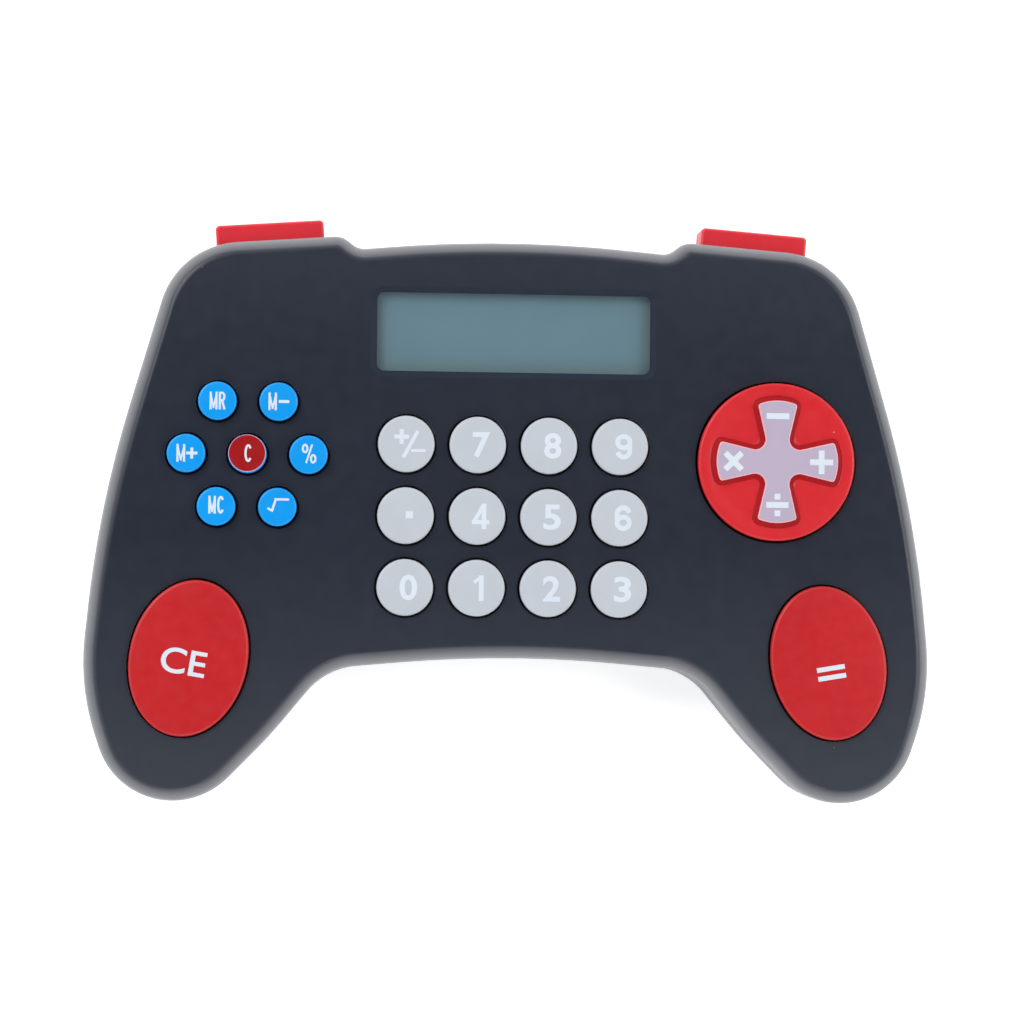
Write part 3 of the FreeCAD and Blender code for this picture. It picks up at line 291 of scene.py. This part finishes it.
def case_material():
    """Soft-touch paint with a fine grain, with painted light: paler bands at the grips' ends, the display
    edge and the rim.
    """
    material = moulded("case_soft_touch", (0.0125, 0.017, 0.031), (0.34, 0.40), 0.16 * MM, 0.005 * MM,
                       mottle=0.08, blotch=14 * MM, Sheen_Weight=0.15, Sheen_Roughness=0.5,
                       Specular_IOR_Level=0.5)
    tree, surface, place, colour = parts_of(material)
    spot = split_place(tree, place)
    low_end = between(tree, spot["Y"], 1, 0, *GRIP_BAND)
    high_end = between(tree, spot["Y"], 0, HEAD_SHARE, *HEAD_BAND)
    # Painted light: paler towards the grips' ends and the display edge.
    paler = mix_colours(tree, join(tree, "MAXIMUM", low_end, high_end), colour, PAINTED_LIGHT_TONE)
    # Painted light and reflection: a pale band round the rim.
    below = between(tree, spot["Z"], 0, 1, RIM_START, RIM_FOOT)
    above = between(tree, spot["Z"], 1, 0, RIM_FOOT, RIM_HEAD)
    toned = mix_colours(tree, join(tree, "MINIMUM", below, above), paler, PAINTED_RIM_LIGHT)
    tree.links.new(toned, surface.inputs["Base Color"])
    return material


def window_surround():
    """The bevel round the display window, duller and darker than the case's paint would be there: painted
    shade.
    """
    return moulded("window_surround", (0.012, 0.019, 0.038), (0.62, 0.72), 0.16 * MM, 0.005 * MM,
                   mottle=0.08, Specular_IOR_Level=0.3)


def metal(name, colour, rough, grain):
    return moulded(name, colour, rough, grain, 0.002 * MM, mottle=0.08, blotch=2 * MM, Metallic=1.0)


def clear_plastic():
    """The display's clear window: it passes light straight and only glosses over."""
    material, tree, surface, place = shader("window_clear")
    surface.inputs["Base Color"].default_value = (0.92, 0.96, 0.97, 1)
    surface.inputs["IOR"].default_value = 1.49
    surface.inputs["Alpha"].default_value = 0.03
    tree.links.new(between(tree, noise(tree, place, 5 * MM), 0.04, 0.08), surface.inputs["Roughness"])
    return material


def display_material():
    """The display's surface behind the window: grey-green, a little greener towards its edges."""
    material, tree, surface, place = shader("display_surface")
    low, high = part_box("lcd_polariser")
    middle = (low + high) / 2
    apart = node(tree, "ShaderNodeVectorMath", operation="SUBTRACT")
    tree.links.new(place, apart.inputs[0])
    apart.inputs[1].default_value = middle
    offset = split_place(tree, apart.outputs["Vector"])
    reach = []
    for axis, half in zip("XY", DISPLAY_HALF):
        away = join(tree, "ABSOLUTE", offset[axis])
        reach.append(between(tree, away, 0, 1, half - DISPLAY_BORDER, half))
    edge = join(tree, "MAXIMUM", *reach)
    cloud = between(tree, noise(tree, place, 12 * MM), 0, 1)
    inner = mix_colours(tree, cloud, (0.084, 0.186, 0.232), (0.095, 0.195, 0.247))
    colour = mix_colours(tree, edge, inner, (0.100, 0.186, 0.205))
    tree.links.new(colour, surface.inputs["Base Color"])
    tree.links.new(between(tree, noise(tree, place, 3 * MM), 0.30, 0.36), surface.inputs["Roughness"])
    add_bump(tree, surface, noise(tree, place, 0.08 * MM, 1.0), 0.002 * MM)
    return material


RED = (0.55, 0.013, 0.017)
PINK = (0.80, 0.30, 0.28)
RED_SOFT = dict(rough=(0.36, 0.46), grain=0.12 * MM, relief=0.004 * MM, mottle=0.03)
FINISHES = {
    "case_shell": dusted(case_material(), (0.16, 0.17, 0.18), 9 * MM, 0.40),
    "steel": metal("screw_steel", (0.50, 0.50, 0.52), (0.28, 0.42), 0.05 * MM),
    "clear_window": clear_plastic(),
    "lcd_glass": moulded("display_glass", (0.16, 0.20, 0.21), (0.05, 0.09), 0.5 * MM, 0.0005 * MM),
    "polariser_film": display_material(),
    "reflector_film": moulded("reflector", (0.36, 0.44, 0.46), (0.25, 0.35), 0.1 * MM, 0.002 * MM),
    "white_plastic": moulded("white_moulding", (0.78, 0.80, 0.80), (0.40, 0.50), 0.15 * MM, 0.004 * MM),
    "elastomer": moulded("layered_elastomer", (0.30, 0.22, 0.26), (0.6, 0.7), 0.1 * MM, 0.004 * MM),
    "board_laminate": moulded("board_green", (0.03, 0.17, 0.06), (0.25, 0.35), 0.4 * MM, 0.010 * MM),
    "black_resin": moulded("resin_black", (0.008, 0.008, 0.009), (0.10, 0.18), 1.5 * MM, 0.03 * MM),
    "component_black": moulded("component_black", (0.02, 0.02, 0.022), (0.4, 0.5), 0.1 * MM, 0.004 * MM),
    "grey_key": shaded_foot(moulded("key_grey", (0.55, 0.580, 0.63), (0.34, 0.44), 0.14 * MM, 0.003 * MM,
                                    mottle=0.02, blotch=5 * MM), FOOT_LOW, DIGIT_FOOT_HIGH),
    "blue_key": shaded_foot(moulded("key_blue", (0.001, 0.33, 0.87), (0.30, 0.40), 0.12 * MM, 0.003 * MM,
                                    mottle=0.03), *MEMORY_FOOT),
    "red_rubber": shaded_foot(dusted(moulded("rubber_red", RED, **RED_SOFT), PINK, 5 * MM, 0.45),
                              FOOT_LOW, RED_FOOT_HIGH),
    "red_plastic": moulded("plastic_red", (0.78, 0.028, 0.042), (0.34, 0.42), 0.2 * MM, 0.003 * MM,
                           mottle=0.03),
    "mauve_insert": moulded("insert_mauve", (0.50, 0.42, 0.55), (0.36, 0.46), 0.15 * MM, 0.003 * MM,
                            mottle=0.02),
    "grey_silicone": moulded("mat_grey", (0.50, 0.52, 0.56), (0.5, 0.6), 0.2 * MM, 0.005 * MM),
    "blue_silicone": moulded("mat_blue", (0.01, 0.28, 0.78), (0.5, 0.6), 0.2 * MM, 0.005 * MM),
    "red_silicone": moulded("mat_red", RED, (0.5, 0.6), 0.2 * MM, 0.005 * MM),
    "nickel": metal("nickel_plate", (0.66, 0.65, 0.61), (0.16, 0.28), 0.06 * MM),
}
INK = moulded("ink_white", (0.72, 0.79, 0.87), (0.34, 0.44), 0.1 * MM, 0.002 * MM, mottle=0.02)
PRINT_RED = moulded("print_red", (0.36, 0.005, 0.007), (0.32, 0.40), 0.1 * MM, 0.002 * MM, mottle=0.05)
PRINT_RIM = moulded("print_rim", (0.62, 0.42, 0.60), (0.34, 0.44), 0.1 * MM, 0.002 * MM, mottle=0.05)
# The skirt round the rocker's cross is a darker, duller red: painted shade on its steep slope.
SHADED_SKIRT_RED = moulded("rocker_skirt_shade", (0.40, 0.006, 0.010), (0.55, 0.65), 0.12 * MM, 0.004 * MM, mottle=0.03,
                    Specular_IOR_Level=0.15)
ROCKER_RED = shaded_foot(dusted(moulded("rocker_red", (0.68, 0.016, 0.024), **RED_SOFT), PINK, 6 * MM, 0.3),
                         FOOT_LOW, RED_FOOT_HIGH)
# Painted highlight: the pale pink of the cross's rounded edge.
INSERT_EDGE_HIGHLIGHT = moulded("insert_edge_highlight", (0.86, 0.46, 0.50), (0.30, 0.40), 0.1 * MM, 0.002 * MM, mottle=0.04)


def paint_nodes():
    """Give every carried-over node the procedural finish of its slot."""
    for name, obj in NODES.items():
        for slot in obj.material_slots:
            slot.material = FINISHES[SLOTS[name]]


def paint_window_bevel():
    """Give the case's sloping faces near the window's edge their own finish, darker as painted shade."""
    shell = NODES["front_shell"].data
    shell.materials.append(window_surround())
    low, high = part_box("display_lens")
    middle = (low + high) / 2
    reach = (high - low) / 2 + Vector((BEVEL_REACH, BEVEL_REACH, 0))
    for face in shell.polygons:
        away = face.center - middle
        near = abs(away.x) < reach.x and abs(away.y) < reach.y
        if near and BEVEL_LEAN[0] < face.normal.z < BEVEL_LEAN[1]:
            face.material_index = len(shell.materials) - 1


# ---------------------------------------------------------------- pieces


def body_of(node_name):
    return next(body for body, members in BODIES.items() if node_name in members)


def centre_of(node_name):
    low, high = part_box(node_name)
    return (low + high) / 2


def finish_piece(mesh, name, materials, body, replaced=()):
    """Link a mesh as a piece that rides on a body, with smooth faces and sharp creases."""
    piece = bpy.data.objects.new(name, mesh)
    bpy.context.scene.collection.objects.link(piece)
    for material in materials:
        mesh.materials.append(material)
    mesh.shade_smooth()
    mesh.set_sharp_from_angle(angle=CREASE)
    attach(piece, body)
    if replaced:
        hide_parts(*replaced)
    return piece


def to_data(mesh, name):
    """Turn a bmesh into a mesh and free it."""
    data = bpy.data.meshes.new(name)
    mesh.to_mesh(data)
    mesh.free()
    return data


def rows_to_mesh(name, rows, second=()):
    """A closed mesh from rings of equal count, capped at its first and last ring by a middle point.

    The bands whose numbers are in second take the piece's second material.
    """
    mesh = bmesh.new()
    rings = [[mesh.verts.new(point) for point in row] for row in rows]
    count = len(rings[0])
    for band, (lower, upper) in enumerate(zip(rings, rings[1:])):
        for index in range(count):
            after = (index + 1) % count
            face = mesh.faces.new((lower[index], lower[after], upper[after], upper[index]))
            face.material_index = int(band in second)
    for ring, turned in ((rings[0], True), (rings[-1], False)):
        middle = mesh.verts.new(sum((v.co for v in ring), Vector()) / count)
        for index in range(count):
            pair = (ring[index], ring[(index + 1) % count])
            mesh.faces.new((middle, *(reversed(pair) if turned else pair)))
    return to_data(mesh, name)


def oval_ring(half_width, half_length, turn, centre):
    """Points round an ellipse with their outward directions, anticlockwise from above."""
    ring = []
    spin = Matrix.Rotation(turn, 2)
    for index in range(RING_STEPS):
        angle = 2 * math.pi * index / RING_STEPS
        point = spin @ Vector((half_width * math.cos(angle), half_length * math.sin(angle)))
        away = spin @ Vector((half_length * math.cos(angle), half_width * math.sin(angle)))
        ring.append((Vector((centre.x + point.x, centre.y + point.y)), away.normalized()))
    return ring


def cap(name, ring, low, top, edge, crown, flange):
    """A key: a flange at its foot, an upright wall, a rounded edge and a slightly crowned top."""
    def offset(distance, height):
        return [Vector((*(point + away * distance), height)) for point, away in ring]

    shelf = low + FLANGE_HEIGHT
    rows = [offset(flange, low), offset(flange, shelf), offset(0, shelf)]
    rim = top - crown
    for step in range(EDGE_STEPS + 1):
        angle = math.pi / 2 * step / EDGE_STEPS
        rows.append(offset(-edge * (1 - math.cos(angle)), rim - edge * (1 - math.sin(angle))))
    inner = rows[-1]
    middle = sum(inner, Vector()) / len(inner)
    for step in range(1, CROWN_STEPS):
        share = 1 - step / CROWN_STEPS
        height = top - crown * share ** 2
        rows.append([Vector((*(middle.xy + (point.xy - middle.xy) * share), height)) for point in inner])
    return rows_to_mesh(name, rows)


def round_ring(node_name, flange):
    """The ring of a round key's wall, from its node's box and its flange's width."""
    low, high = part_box(node_name)
    radius = (high.x - low.x) / 2 - flange
    return oval_ring(radius, radius, 0, (low + high) / 2)


def key_cap(node_name, ring, edge, crown, flange):
    low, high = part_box(node_name)
    mesh = cap(f"{node_name}_cap", ring, low.z, high.z, edge, crown, flange)
    slot = SLOTS[node_name]
    return finish_piece(mesh, f"{node_name}_cap", [FINISHES[slot]], body_of(node_name), [node_name])


# ---------------------------------------------------------------- legends


def flat_to_mesh(curve, name):
    """Turn a text or a curve into a mesh."""
    holder = bpy.data.objects.new(name, curve)
    bpy.context.scene.collection.objects.link(holder)
    bpy.context.view_layer.update()
    graph = bpy.context.evaluated_depsgraph_get()
    mesh = bpy.data.meshes.new_from_object(holder.evaluated_get(graph))
    bpy.data.objects.remove(holder)
    mesh.name = name
    return mesh


def fit(mesh, width, height, turn, place):
    """Scale a flat mesh to a width and height round its middle, turn it and put its foot on a place."""
    points = [v.co for v in mesh.vertices]
    low = Vector(map(min, *points))
    high = Vector(map(max, *points))
    middle = (low + high) / 2
    size = high - low
    grow = Matrix.Diagonal((width / size.x, height / size.y, FILM / size.z, 1))
    to_middle = Matrix.Translation((-middle.x, -middle.y, -low.z))
    mesh.transform(Matrix.Translation(place) @ Matrix.Rotation(turn, 4, "Z") @ grow @ to_middle)
    return mesh


def text_mesh(name, text, weight):
    """Lettering in the built-in face, made heavier by a weight that is a share of its size."""
    curve = bpy.data.curves.new(name, "FONT")
    curve.body = text
    curve.size = 1.0
    curve.offset = weight
    curve.extrude = 0.1
    curve.resolution_u = 6
    return flat_to_mesh(curve, name)


def bars_mesh(name, bars):
    """Flat blocks, each (x, y, width, height, turn), in one mesh; blocks that cross differ in height."""
    mesh = bmesh.new()
    for index, (x, y, width, height, turn) in enumerate(bars):
        thick = FILM * (1 - LAYER_STEP * (index % BAR_LAYERS))
        place = Matrix.Translation((x, y, thick / 2)) @ Matrix.Rotation(turn, 4, "Z")
        size = Matrix.Diagonal((width, height, thick, 1))
        bmesh.ops.create_cube(mesh, size=1, matrix=place @ size)
    return to_data(mesh, name)


def put_legend(mesh, name, node_name):
    return finish_piece(mesh, name, [INK], body_of(node_name))


def top_of(node_name, x=0.0, y=0.0, sunk=SUNK):
    """A place just under the middle of a node's top, moved by x and y millimetres."""
    middle = centre_of(node_name)
    return Vector((middle.x + x * MM, middle.y + y * MM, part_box(node_name)[1].z - sunk))


def put_text(node_name, text, width, height, weight, x=0.0, y=0.0, turn=0.0):
    """Print a text on a node's top, fitted to a width and a height in metres."""
    name = f"legend_{node_name}_text"
    mesh = fit(text_mesh(name, text, weight), width, height, turn, top_of(node_name, x, y))
    put_legend(mesh, name, node_name)


def put_bars(node_name, bars, turn=0.0, x=0.0, y=0.0, sunk=SUNK):
    """Print bars on a node's top, each (x, y, width, height, degrees) in millimetres."""
    name = f"legend_{node_name}_bars"
    scaled_bars = [(*(length * MM for length in bar[:4]), math.radians(bar[4])) for bar in bars]
    mesh = bars_mesh(name, scaled_bars)
    mesh.transform(Matrix.Translation(top_of(node_name, x, y, sunk)) @ Matrix.Rotation(turn, 4, "Z"))
    put_legend(mesh, name, node_name)


def stroke(start, end, width):
    """A bar from one point to another, lengthened by half its width at both ends."""
    along = Vector(end) - Vector(start)
    middle = (Vector(start) + Vector(end)) / 2
    return (middle.x, middle.y, along.length + width, width, math.degrees(math.atan2(along.y, along.x)))


def polyline(points, width):
    return [stroke(start, end, width) for start, end in zip(points, points[1:])]


def plus(x, y, span, width, turn=0.0):
    return [(x, y, span, width, turn), (x, y, span, width, turn + 90)]


def bow(x, y, half_width, half_height, start, end, width):
    """Short strokes along an ellipse's arc, between two angles in degrees."""
    points = []
    for step in range(CURVE_STEPS + 1):
        angle = math.radians(start + (end - start) * step / CURVE_STEPS)
        points.append((x + half_width * math.cos(angle), y + half_height * math.sin(angle)))
    made = []
    for first, last in zip(points, points[1:]):
        x_middle, y_middle, length, _, turn = stroke(first, last, width * BOW_OVERLAP)
        made.append((x_middle, y_middle, length, width, turn))
    return made


def figure_nine():
    line = DIGIT_LINE
    return [*bow(0, 0.78, 1.04, 0.96, 0, 360, line), stroke((1.04, 0.75), (1.04, -0.5), line * 0.9),
            *bow(0, -0.6, 1.04, 1.14, 0, -158, line)]


def stroke_figures():
    """The figures that the built-in face draws unlike a plain grotesque, as strokes."""
    nine = figure_nine()
    return {
        1: [(0.2, 0, DIGIT_LINE, 4.3, 0), stroke((-0.8, 1.12), (0.1, 1.72), 0.6)],
        4: [(0.55, 0, DIGIT_LINE, 4.3, 0), (0, -0.95, 2.95, 0.72, 0),
            stroke((-1.1, -0.85), (0.4, 1.75), 0.68)],
        6: [(-x, -y, length, line, turn) for x, y, length, line, turn in nine],
        9: nine,
    }


def digit_legends():
    strokes = stroke_figures()
    for digit in range(10):
        if digit in strokes:
            put_bars(f"key_{digit}", strokes[digit], x=DIGIT_SHIFT)
        else:
            put_text(f"key_{digit}", str(digit), DIGIT_WIDTH, DIGIT_HEIGHT, DIGIT_WEIGHT, DIGIT_SHIFT)
    put_bars("key_point", [(0.6, 0.15, 1.2, 1.2, 0)])
    put_bars("key_sign", [*plus(-0.8, 1.2, 2.5, 0.7), stroke((-0.35, -2.0), (1.75, 1.9), 0.62),
                          (2.0, -1.1, 2.4, 0.5, 0)])


def letter_m(x, y, width):
    line = MEMORY_LINE
    side = (width - line) / 2
    top = MEMORY_HEIGHT / 2
    return [(x - side, y, line, 2 * top, 0), (x + side, y, line, 2 * top, 0),
            stroke((x - side, y + top - line), (x, y - top + line), line * 0.8),
            stroke((x + side, y + top - line), (x, y - top + line), line * 0.8)]


def letter_c(x, y, width):
    line = MEMORY_LINE
    return bow(x, y, (width - line) / 2, (MEMORY_HEIGHT - line) / 2, 42, 318, line)


def letter_r(x, y, width):
    line = MEMORY_LINE
    left, right = x - (width - line) / 2, x + (width - line) / 2
    top = MEMORY_HEIGHT / 2
    waist = y + 0.05
    middle = (y + top - line / 2 + waist) / 2
    rise = y + top - line / 2 - middle
    return [(left, y, line, 2 * top, 0), stroke((left, middle + rise), (x, middle + rise), line),
            *bow(x, middle, right - x, rise, -90, 90, line), stroke((left, waist), (x, waist), line),
            stroke((x, waist), (right, y - top + line / 2), line)]


def percent_sign(x, y):
    ring = (0.38, 0.62, 0, 360, 0.34)
    return [*bow(x - 0.68, y + 0.85, *ring), *bow(x + 0.68, y - 0.85, *ring),
            stroke((x - 0.45, y - 1.4), (x + 0.45, y + 1.4), 0.3)]


def memory_legends():
    put_bars("key_mr", letter_m(-0.62, 0, 1.32) + letter_r(0.78, 0, 1.1))
    put_bars("key_mc", letter_m(-0.64, 0.25, 1.25) + letter_c(0.78, 0.25, 1.2))
    put_bars("key_m_minus", [*letter_m(-0.98, 0, 1.4), (0.9, 0, 1.75, 0.48, 0)])
    put_bars("key_m_plus", [*letter_m(-0.84, 0, 1.45), *plus(0.97, 0, 1.85, 0.48)])
    put_bars("key_percent", percent_sign(0.1, 0.15))
    put_bars("key_root", polyline([(-1.45, -0.30), (-0.87, -0.62), (-0.27, 1.26), (1.75, 1.26)], 0.38))


def clear_key_print():
    """The clear key is a blue key with a red disc printed on its top, inside a pale rim."""
    key_name = "key_c"
    for name, radius, material, slot, sunk in (
            ("print_rim", PRINT_RIM_RADIUS, PRINT_RIM, "mauve_insert", 0.035 * MM),
            ("print_disc", PRINT_RADIUS, PRINT_RED, "red_plastic", 0.025 * MM)):
        mesh = bmesh.new()
        place = top_of(key_name, -0.05, 0.10, sunk) + Vector((0, 0, FILM / 2))
        bmesh.ops.create_cone(mesh, cap_ends=True, segments=RING_STEPS, radius1=radius, radius2=radius,
                              depth=FILM, matrix=Matrix.Translation(place))
        finish_piece(to_data(mesh, name), name, [material], body_of(key_name))
    put_bars(key_name, letter_c(0.15, 0.1, 1.26), sunk=0.01 * MM)


def oval_legends():
    put_text("ce_key", "CE", 7.5 * MM, 4.3 * MM, 0.012, -0.8, -0.6, -OVAL_LETTER_TURN)
    put_bars("equals_key", [(0, 0.75, 4.8, 0.8, 0), (0, -0.75, 4.8, 0.8, 0)], OVAL_LETTER_TURN, 0.4, -1.6)


def rocker_legends():
    minus = [(0, 7.7, 3.9, 1.0, 0)]
    divide = [(0, -7.3, 3.8, 1.0, 0), (0, -5.9, 1.0, 1.0, 0), (0, -8.7, 1.0, 1.0, 0)]
    signs = [*minus, *divide, *plus(7.5, 0, 4.0, 1.0), *plus(-7.5, 0, 4.0, 1.0, 45)]
    put_bars("rocker_cross", signs, sunk=FILM)


# ---------------------------------------------------------------- rocker


def arc(centre, radius, start, end, steps, facing=1):
    """Points along an arc with their outward directions; facing is -1 for a hollow arc."""
    made = []
    for index in range(steps + 1):
        angle = start + (end - start) * index / steps
        away = Vector((math.cos(angle), math.sin(angle)))
        made.append((centre + away * radius, away * facing))
    return made


def cross_ring(centre):
    """Points round the cross with their outward directions, anticlockwise from above."""
    tip = Vector((0, CROSS_TIP_Y))
    apart = CROSS_INNER - CROSS_CORNER
    lean = math.acos((CROSS_CORNER_RADIUS + CROSS_INNER_RADIUS) / apart.length)
    side = math.atan2(apart.y, apart.x) + lean
    shoulder = CROSS_CORNER - tip
    turn = math.atan2(shoulder.y, shoulder.x)
    half = arc(CROSS_INNER, CROSS_INNER_RADIUS, math.radians(225), math.pi + side, ROCKER_STEPS, -1)
    corner = arc(CROSS_CORNER, CROSS_CORNER_RADIUS, side, turn, ROCKER_STEPS)
    start, away = half[-1]
    half += [(start.lerp(corner[0][0], index / ROCKER_STEPS), away) for index in range(1, ROCKER_STEPS)]
    half += corner
    half += arc(tip, CROSS_TIP_RADIUS, turn, math.pi / 2, ROCKER_STEPS)[1:]
    mirrored = [(Vector((-p.x, p.y)), Vector((-a.x, a.y))) for p, a in reversed(half[1:-1])]
    ring = []
    for quarter in range(4):
        spin = Matrix.Rotation(math.pi / 2 * quarter, 2)
        ring += [(centre.xy + spin @ point, spin @ away) for point, away in half + mirrored]
    return ring


def smooth_step(share):
    return share * share * (3 - 2 * share)


def circle(centre, rays, radius, height):
    """A ring of one radius round the rocker's middle, with one point on each ray."""
    return [Vector((*(centre.xy + ray * radius), height)) for ray in rays]


def outline(ring, distance, height):
    """The cross's outline, moved outwards by a distance."""
    return [Vector((*(point + away * distance), height)) for point, away in ring]


def dish_rows(centre, radius, rim, foot, top):
    """The rings between the rocker's rim and the foot of the cross's skirt, which sink into a dish."""
    rows = []
    for step in range(1, ROCKER_STEPS):
        row = []
        for start, end in zip(rim, foot):
            spot = start.xy.lerp(end.xy, step / ROCKER_STEPS)
            from_rim = radius - (spot - centre.xy).length
            share = min(1.0, max(0.0, from_rim / ROCKER_RIM - ROCKER_RIM_FLAT))
            row.append(Vector((*spot, top - ROCKER_DISH * smooth_step(share))))
        rows.append(row)
    return rows


def make_rocker_face(ring):
    """The rocker's disc, with a socket for the ball, a shallow dish and a sloped skirt round its cross."""
    low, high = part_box("rocker_disc")
    centre = (low + high) / 2
    cross_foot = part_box("rocker_cross")[0].z
    rays = [(point - centre.xy).normalized() for point, away in ring]
    flange = (high.x - low.x) / 2
    radius = flange - ROCKER_FLANGE
    shelf = low.z + ROCKER_FLANGE_HEIGHT
    top = cross_foot - ROCKER_DROP
    rows = []
    sweep = math.pi / 2 + math.asin((SOCKET_HEIGHT - ROCKER_RECESS_TOP) / SOCKET_RADIUS)
    for step in range(1, ROCKER_STEPS + 1):
        angle = sweep * step / ROCKER_STEPS
        height = SOCKET_HEIGHT + SOCKET_RADIUS * math.cos(angle)
        rows.append(circle(centre, rays, SOCKET_RADIUS * math.sin(angle), height))
    for spread, height in ((ROCKER_RECESS, ROCKER_RECESS_TOP), (ROCKER_RECESS, low.z), (flange, low.z),
                           (flange, shelf), (radius, shelf)):
        rows.append(circle(centre, rays, spread, height))
    for step in range(EDGE_STEPS + 1):
        angle = math.pi / 2 * step / EDGE_STEPS
        inset = ROCKER_EDGE * (1 - math.cos(angle))
        rows.append(circle(centre, rays, radius - inset, top - ROCKER_EDGE * (1 - math.sin(angle))))
    foot = outline(ring, CROSS_SKIRT, top - ROCKER_DISH)
    rows += dish_rows(centre, radius, rows[-1], foot, top)
    skirt = len(rows)
    rows += [foot, outline(ring, CROSS_SEAM, cross_foot), outline(ring, -CROSS_OVERLAP, cross_foot)]
    # The skirt's bands take the darker red, as painted shade.
    mesh = rows_to_mesh("rocker_face", rows, second=(skirt, skirt + 1))
    finish_piece(mesh, "rocker_face", [ROCKER_RED, SHADED_SKIRT_RED], "rocker", ["rocker_disc"])


def make_rocker_plate(ring):
    """The pale cross on the disc, with a rounded edge in a second colour: a painted highlight where the
    edge catches the light.
    """
    low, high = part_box("rocker_cross")
    top = high.z - FILM
    rows = [outline(ring, 0, low.z)]
    for step in range(EDGE_STEPS + 1):
        angle = math.pi / 2 * step / EDGE_STEPS
        drop = CROSS_EDGE * (1 - math.sin(angle))
        rows.append(outline(ring, -CROSS_EDGE * (1 - math.cos(angle)), top - drop))
    mesh = rows_to_mesh("rocker_plate", rows, second=range(len(rows)))
    materials = [FINISHES["mauve_insert"], INSERT_EDGE_HIGHLIGHT]
    finish_piece(mesh, "rocker_plate", materials, "rocker", ["rocker_cross"])


def make_rocker():
    ring = cross_ring(centre_of("rocker_disc"))
    make_rocker_face(ring)
    make_rocker_plate(ring)


# ---------------------------------------------------------------- keys


def make_keys():
    for mark in ("sign", "point", *range(10)):
        name = f"key_{mark}"
        key_cap(name, round_ring(name, DIGIT_FLANGE), DIGIT_EDGE, DIGIT_CROWN, DIGIT_FLANGE)
    for short in ("mr", "m_minus", "m_plus", "c", "percent", "mc", "root"):
        name = f"key_{short}"
        key_cap(name, round_ring(name, MEMORY_FLANGE), MEMORY_EDGE, MEMORY_CROWN, MEMORY_FLANGE)
    for name, side in (("ce_key", -1), ("equals_key", 1)):
        ring = oval_ring(OVAL_HALF_WIDTH, OVAL_HALF_LENGTH, side * OVAL_TILT, centre_of(name))
        key_cap(name, ring, OVAL_EDGE, OVAL_CROWN, OVAL_FLANGE)


# ---------------------------------------------------------------- stage


def area_light(name, place, size, power):
    """A soft round lamp that faces the origin."""
    data = bpy.data.lights.new(name, "AREA")
    data.shape = "DISK"
    data.size = size
    data.energy = power
    lamp = bpy.data.objects.new(name, data)
    lamp.location = place
    lamp.rotation_mode = "QUATERNION"
    lamp.rotation_quaternion = Vector(place).to_track_quat("Z", "Y")
    bpy.context.scene.collection.objects.link(lamp)


def make_floor():
    floor_mesh = bpy.data.meshes.new("floor")
    reach = 3.0
    corners = [(-reach, -reach, 0), (reach, -reach, 0), (reach, reach, 0), (-reach, reach, 0)]
    floor_mesh.from_pydata(corners, [], [(0, 1, 2, 3)])
    floor = bpy.data.objects.new("floor", floor_mesh)
    paper = moulded("floor_paper", (0.93, 0.93, 0.93), (0.8, 0.9), 0.5 * MM, 0.004 * MM, mottle=0.002,
                    Specular_IOR_Level=0.0, Emission_Color=(1, 1, 1, 1), Emission_Strength=0.55)
    floor_mesh.materials.append(paper)
    bpy.context.scene.collection.objects.link(floor)


def make_sky():
    """A pale sky that is darker overhead."""
    world = bpy.data.worlds.new("studio")
    bpy.context.scene.world = world
    world.use_nodes = True
    tree = world.node_tree
    sky = next(n for n in tree.nodes if n.type == "BACKGROUND")
    direction = split_place(tree, node(tree, "ShaderNodeTexCoord").outputs["Generated"])
    glow = between(tree, direction["Z"], 1.15, 0.05, 0.45, 0.95)
    tree.links.new(glow, sky.inputs["Strength"])
    sky.inputs["Color"].default_value = (0.96, 0.98, 1.0, 1)


def make_lamps():
    area_light("lamp_upper_left", (-0.7, 0.6, 0.8), 0.6, 6.0)
    area_light("lamp_right", (0.8, 0.1, 0.7), 0.5, 2.7)
    area_light("lamp_front", (0.1, -0.9, 0.5), 0.7, 1.6)


def make_camera():
    data = bpy.data.cameras.new("camera")
    data.lens = LENS
    data.sensor_width = SENSOR
    data.clip_start = NEAR
    data.clip_end = FAR
    camera = bpy.data.objects.new("camera", data)
    bpy.context.scene.collection.objects.link(camera)
    across, along = -math.sin(FROM_LEFT), -math.sin(FROM_BELOW)
    back = Vector((across, along, math.sqrt(1 - across ** 2 - along ** 2)))
    right = Vector((0, 1, 0)).cross(back).normalized()
    up = back.cross(right)
    turned_right = right * math.cos(ROLL) + up * math.sin(ROLL)
    turned_up = up * math.cos(ROLL) - right * math.sin(ROLL)
    turn = Matrix((turned_right, turned_up, back)).transposed()
    camera.matrix_world = Matrix.Translation(TARGET + back * DISTANCE) @ turn.to_4x4()
    bpy.context.scene.camera = camera


bpy.context.scene.view_settings.view_transform = "Standard"
make_floor()
make_sky()
make_lamps()
make_camera()
paint_nodes()
paint_window_bevel()
make_keys()
make_rocker()
digit_legends()
memory_legends()
clear_key_print()
oval_legends()
rocker_legends()
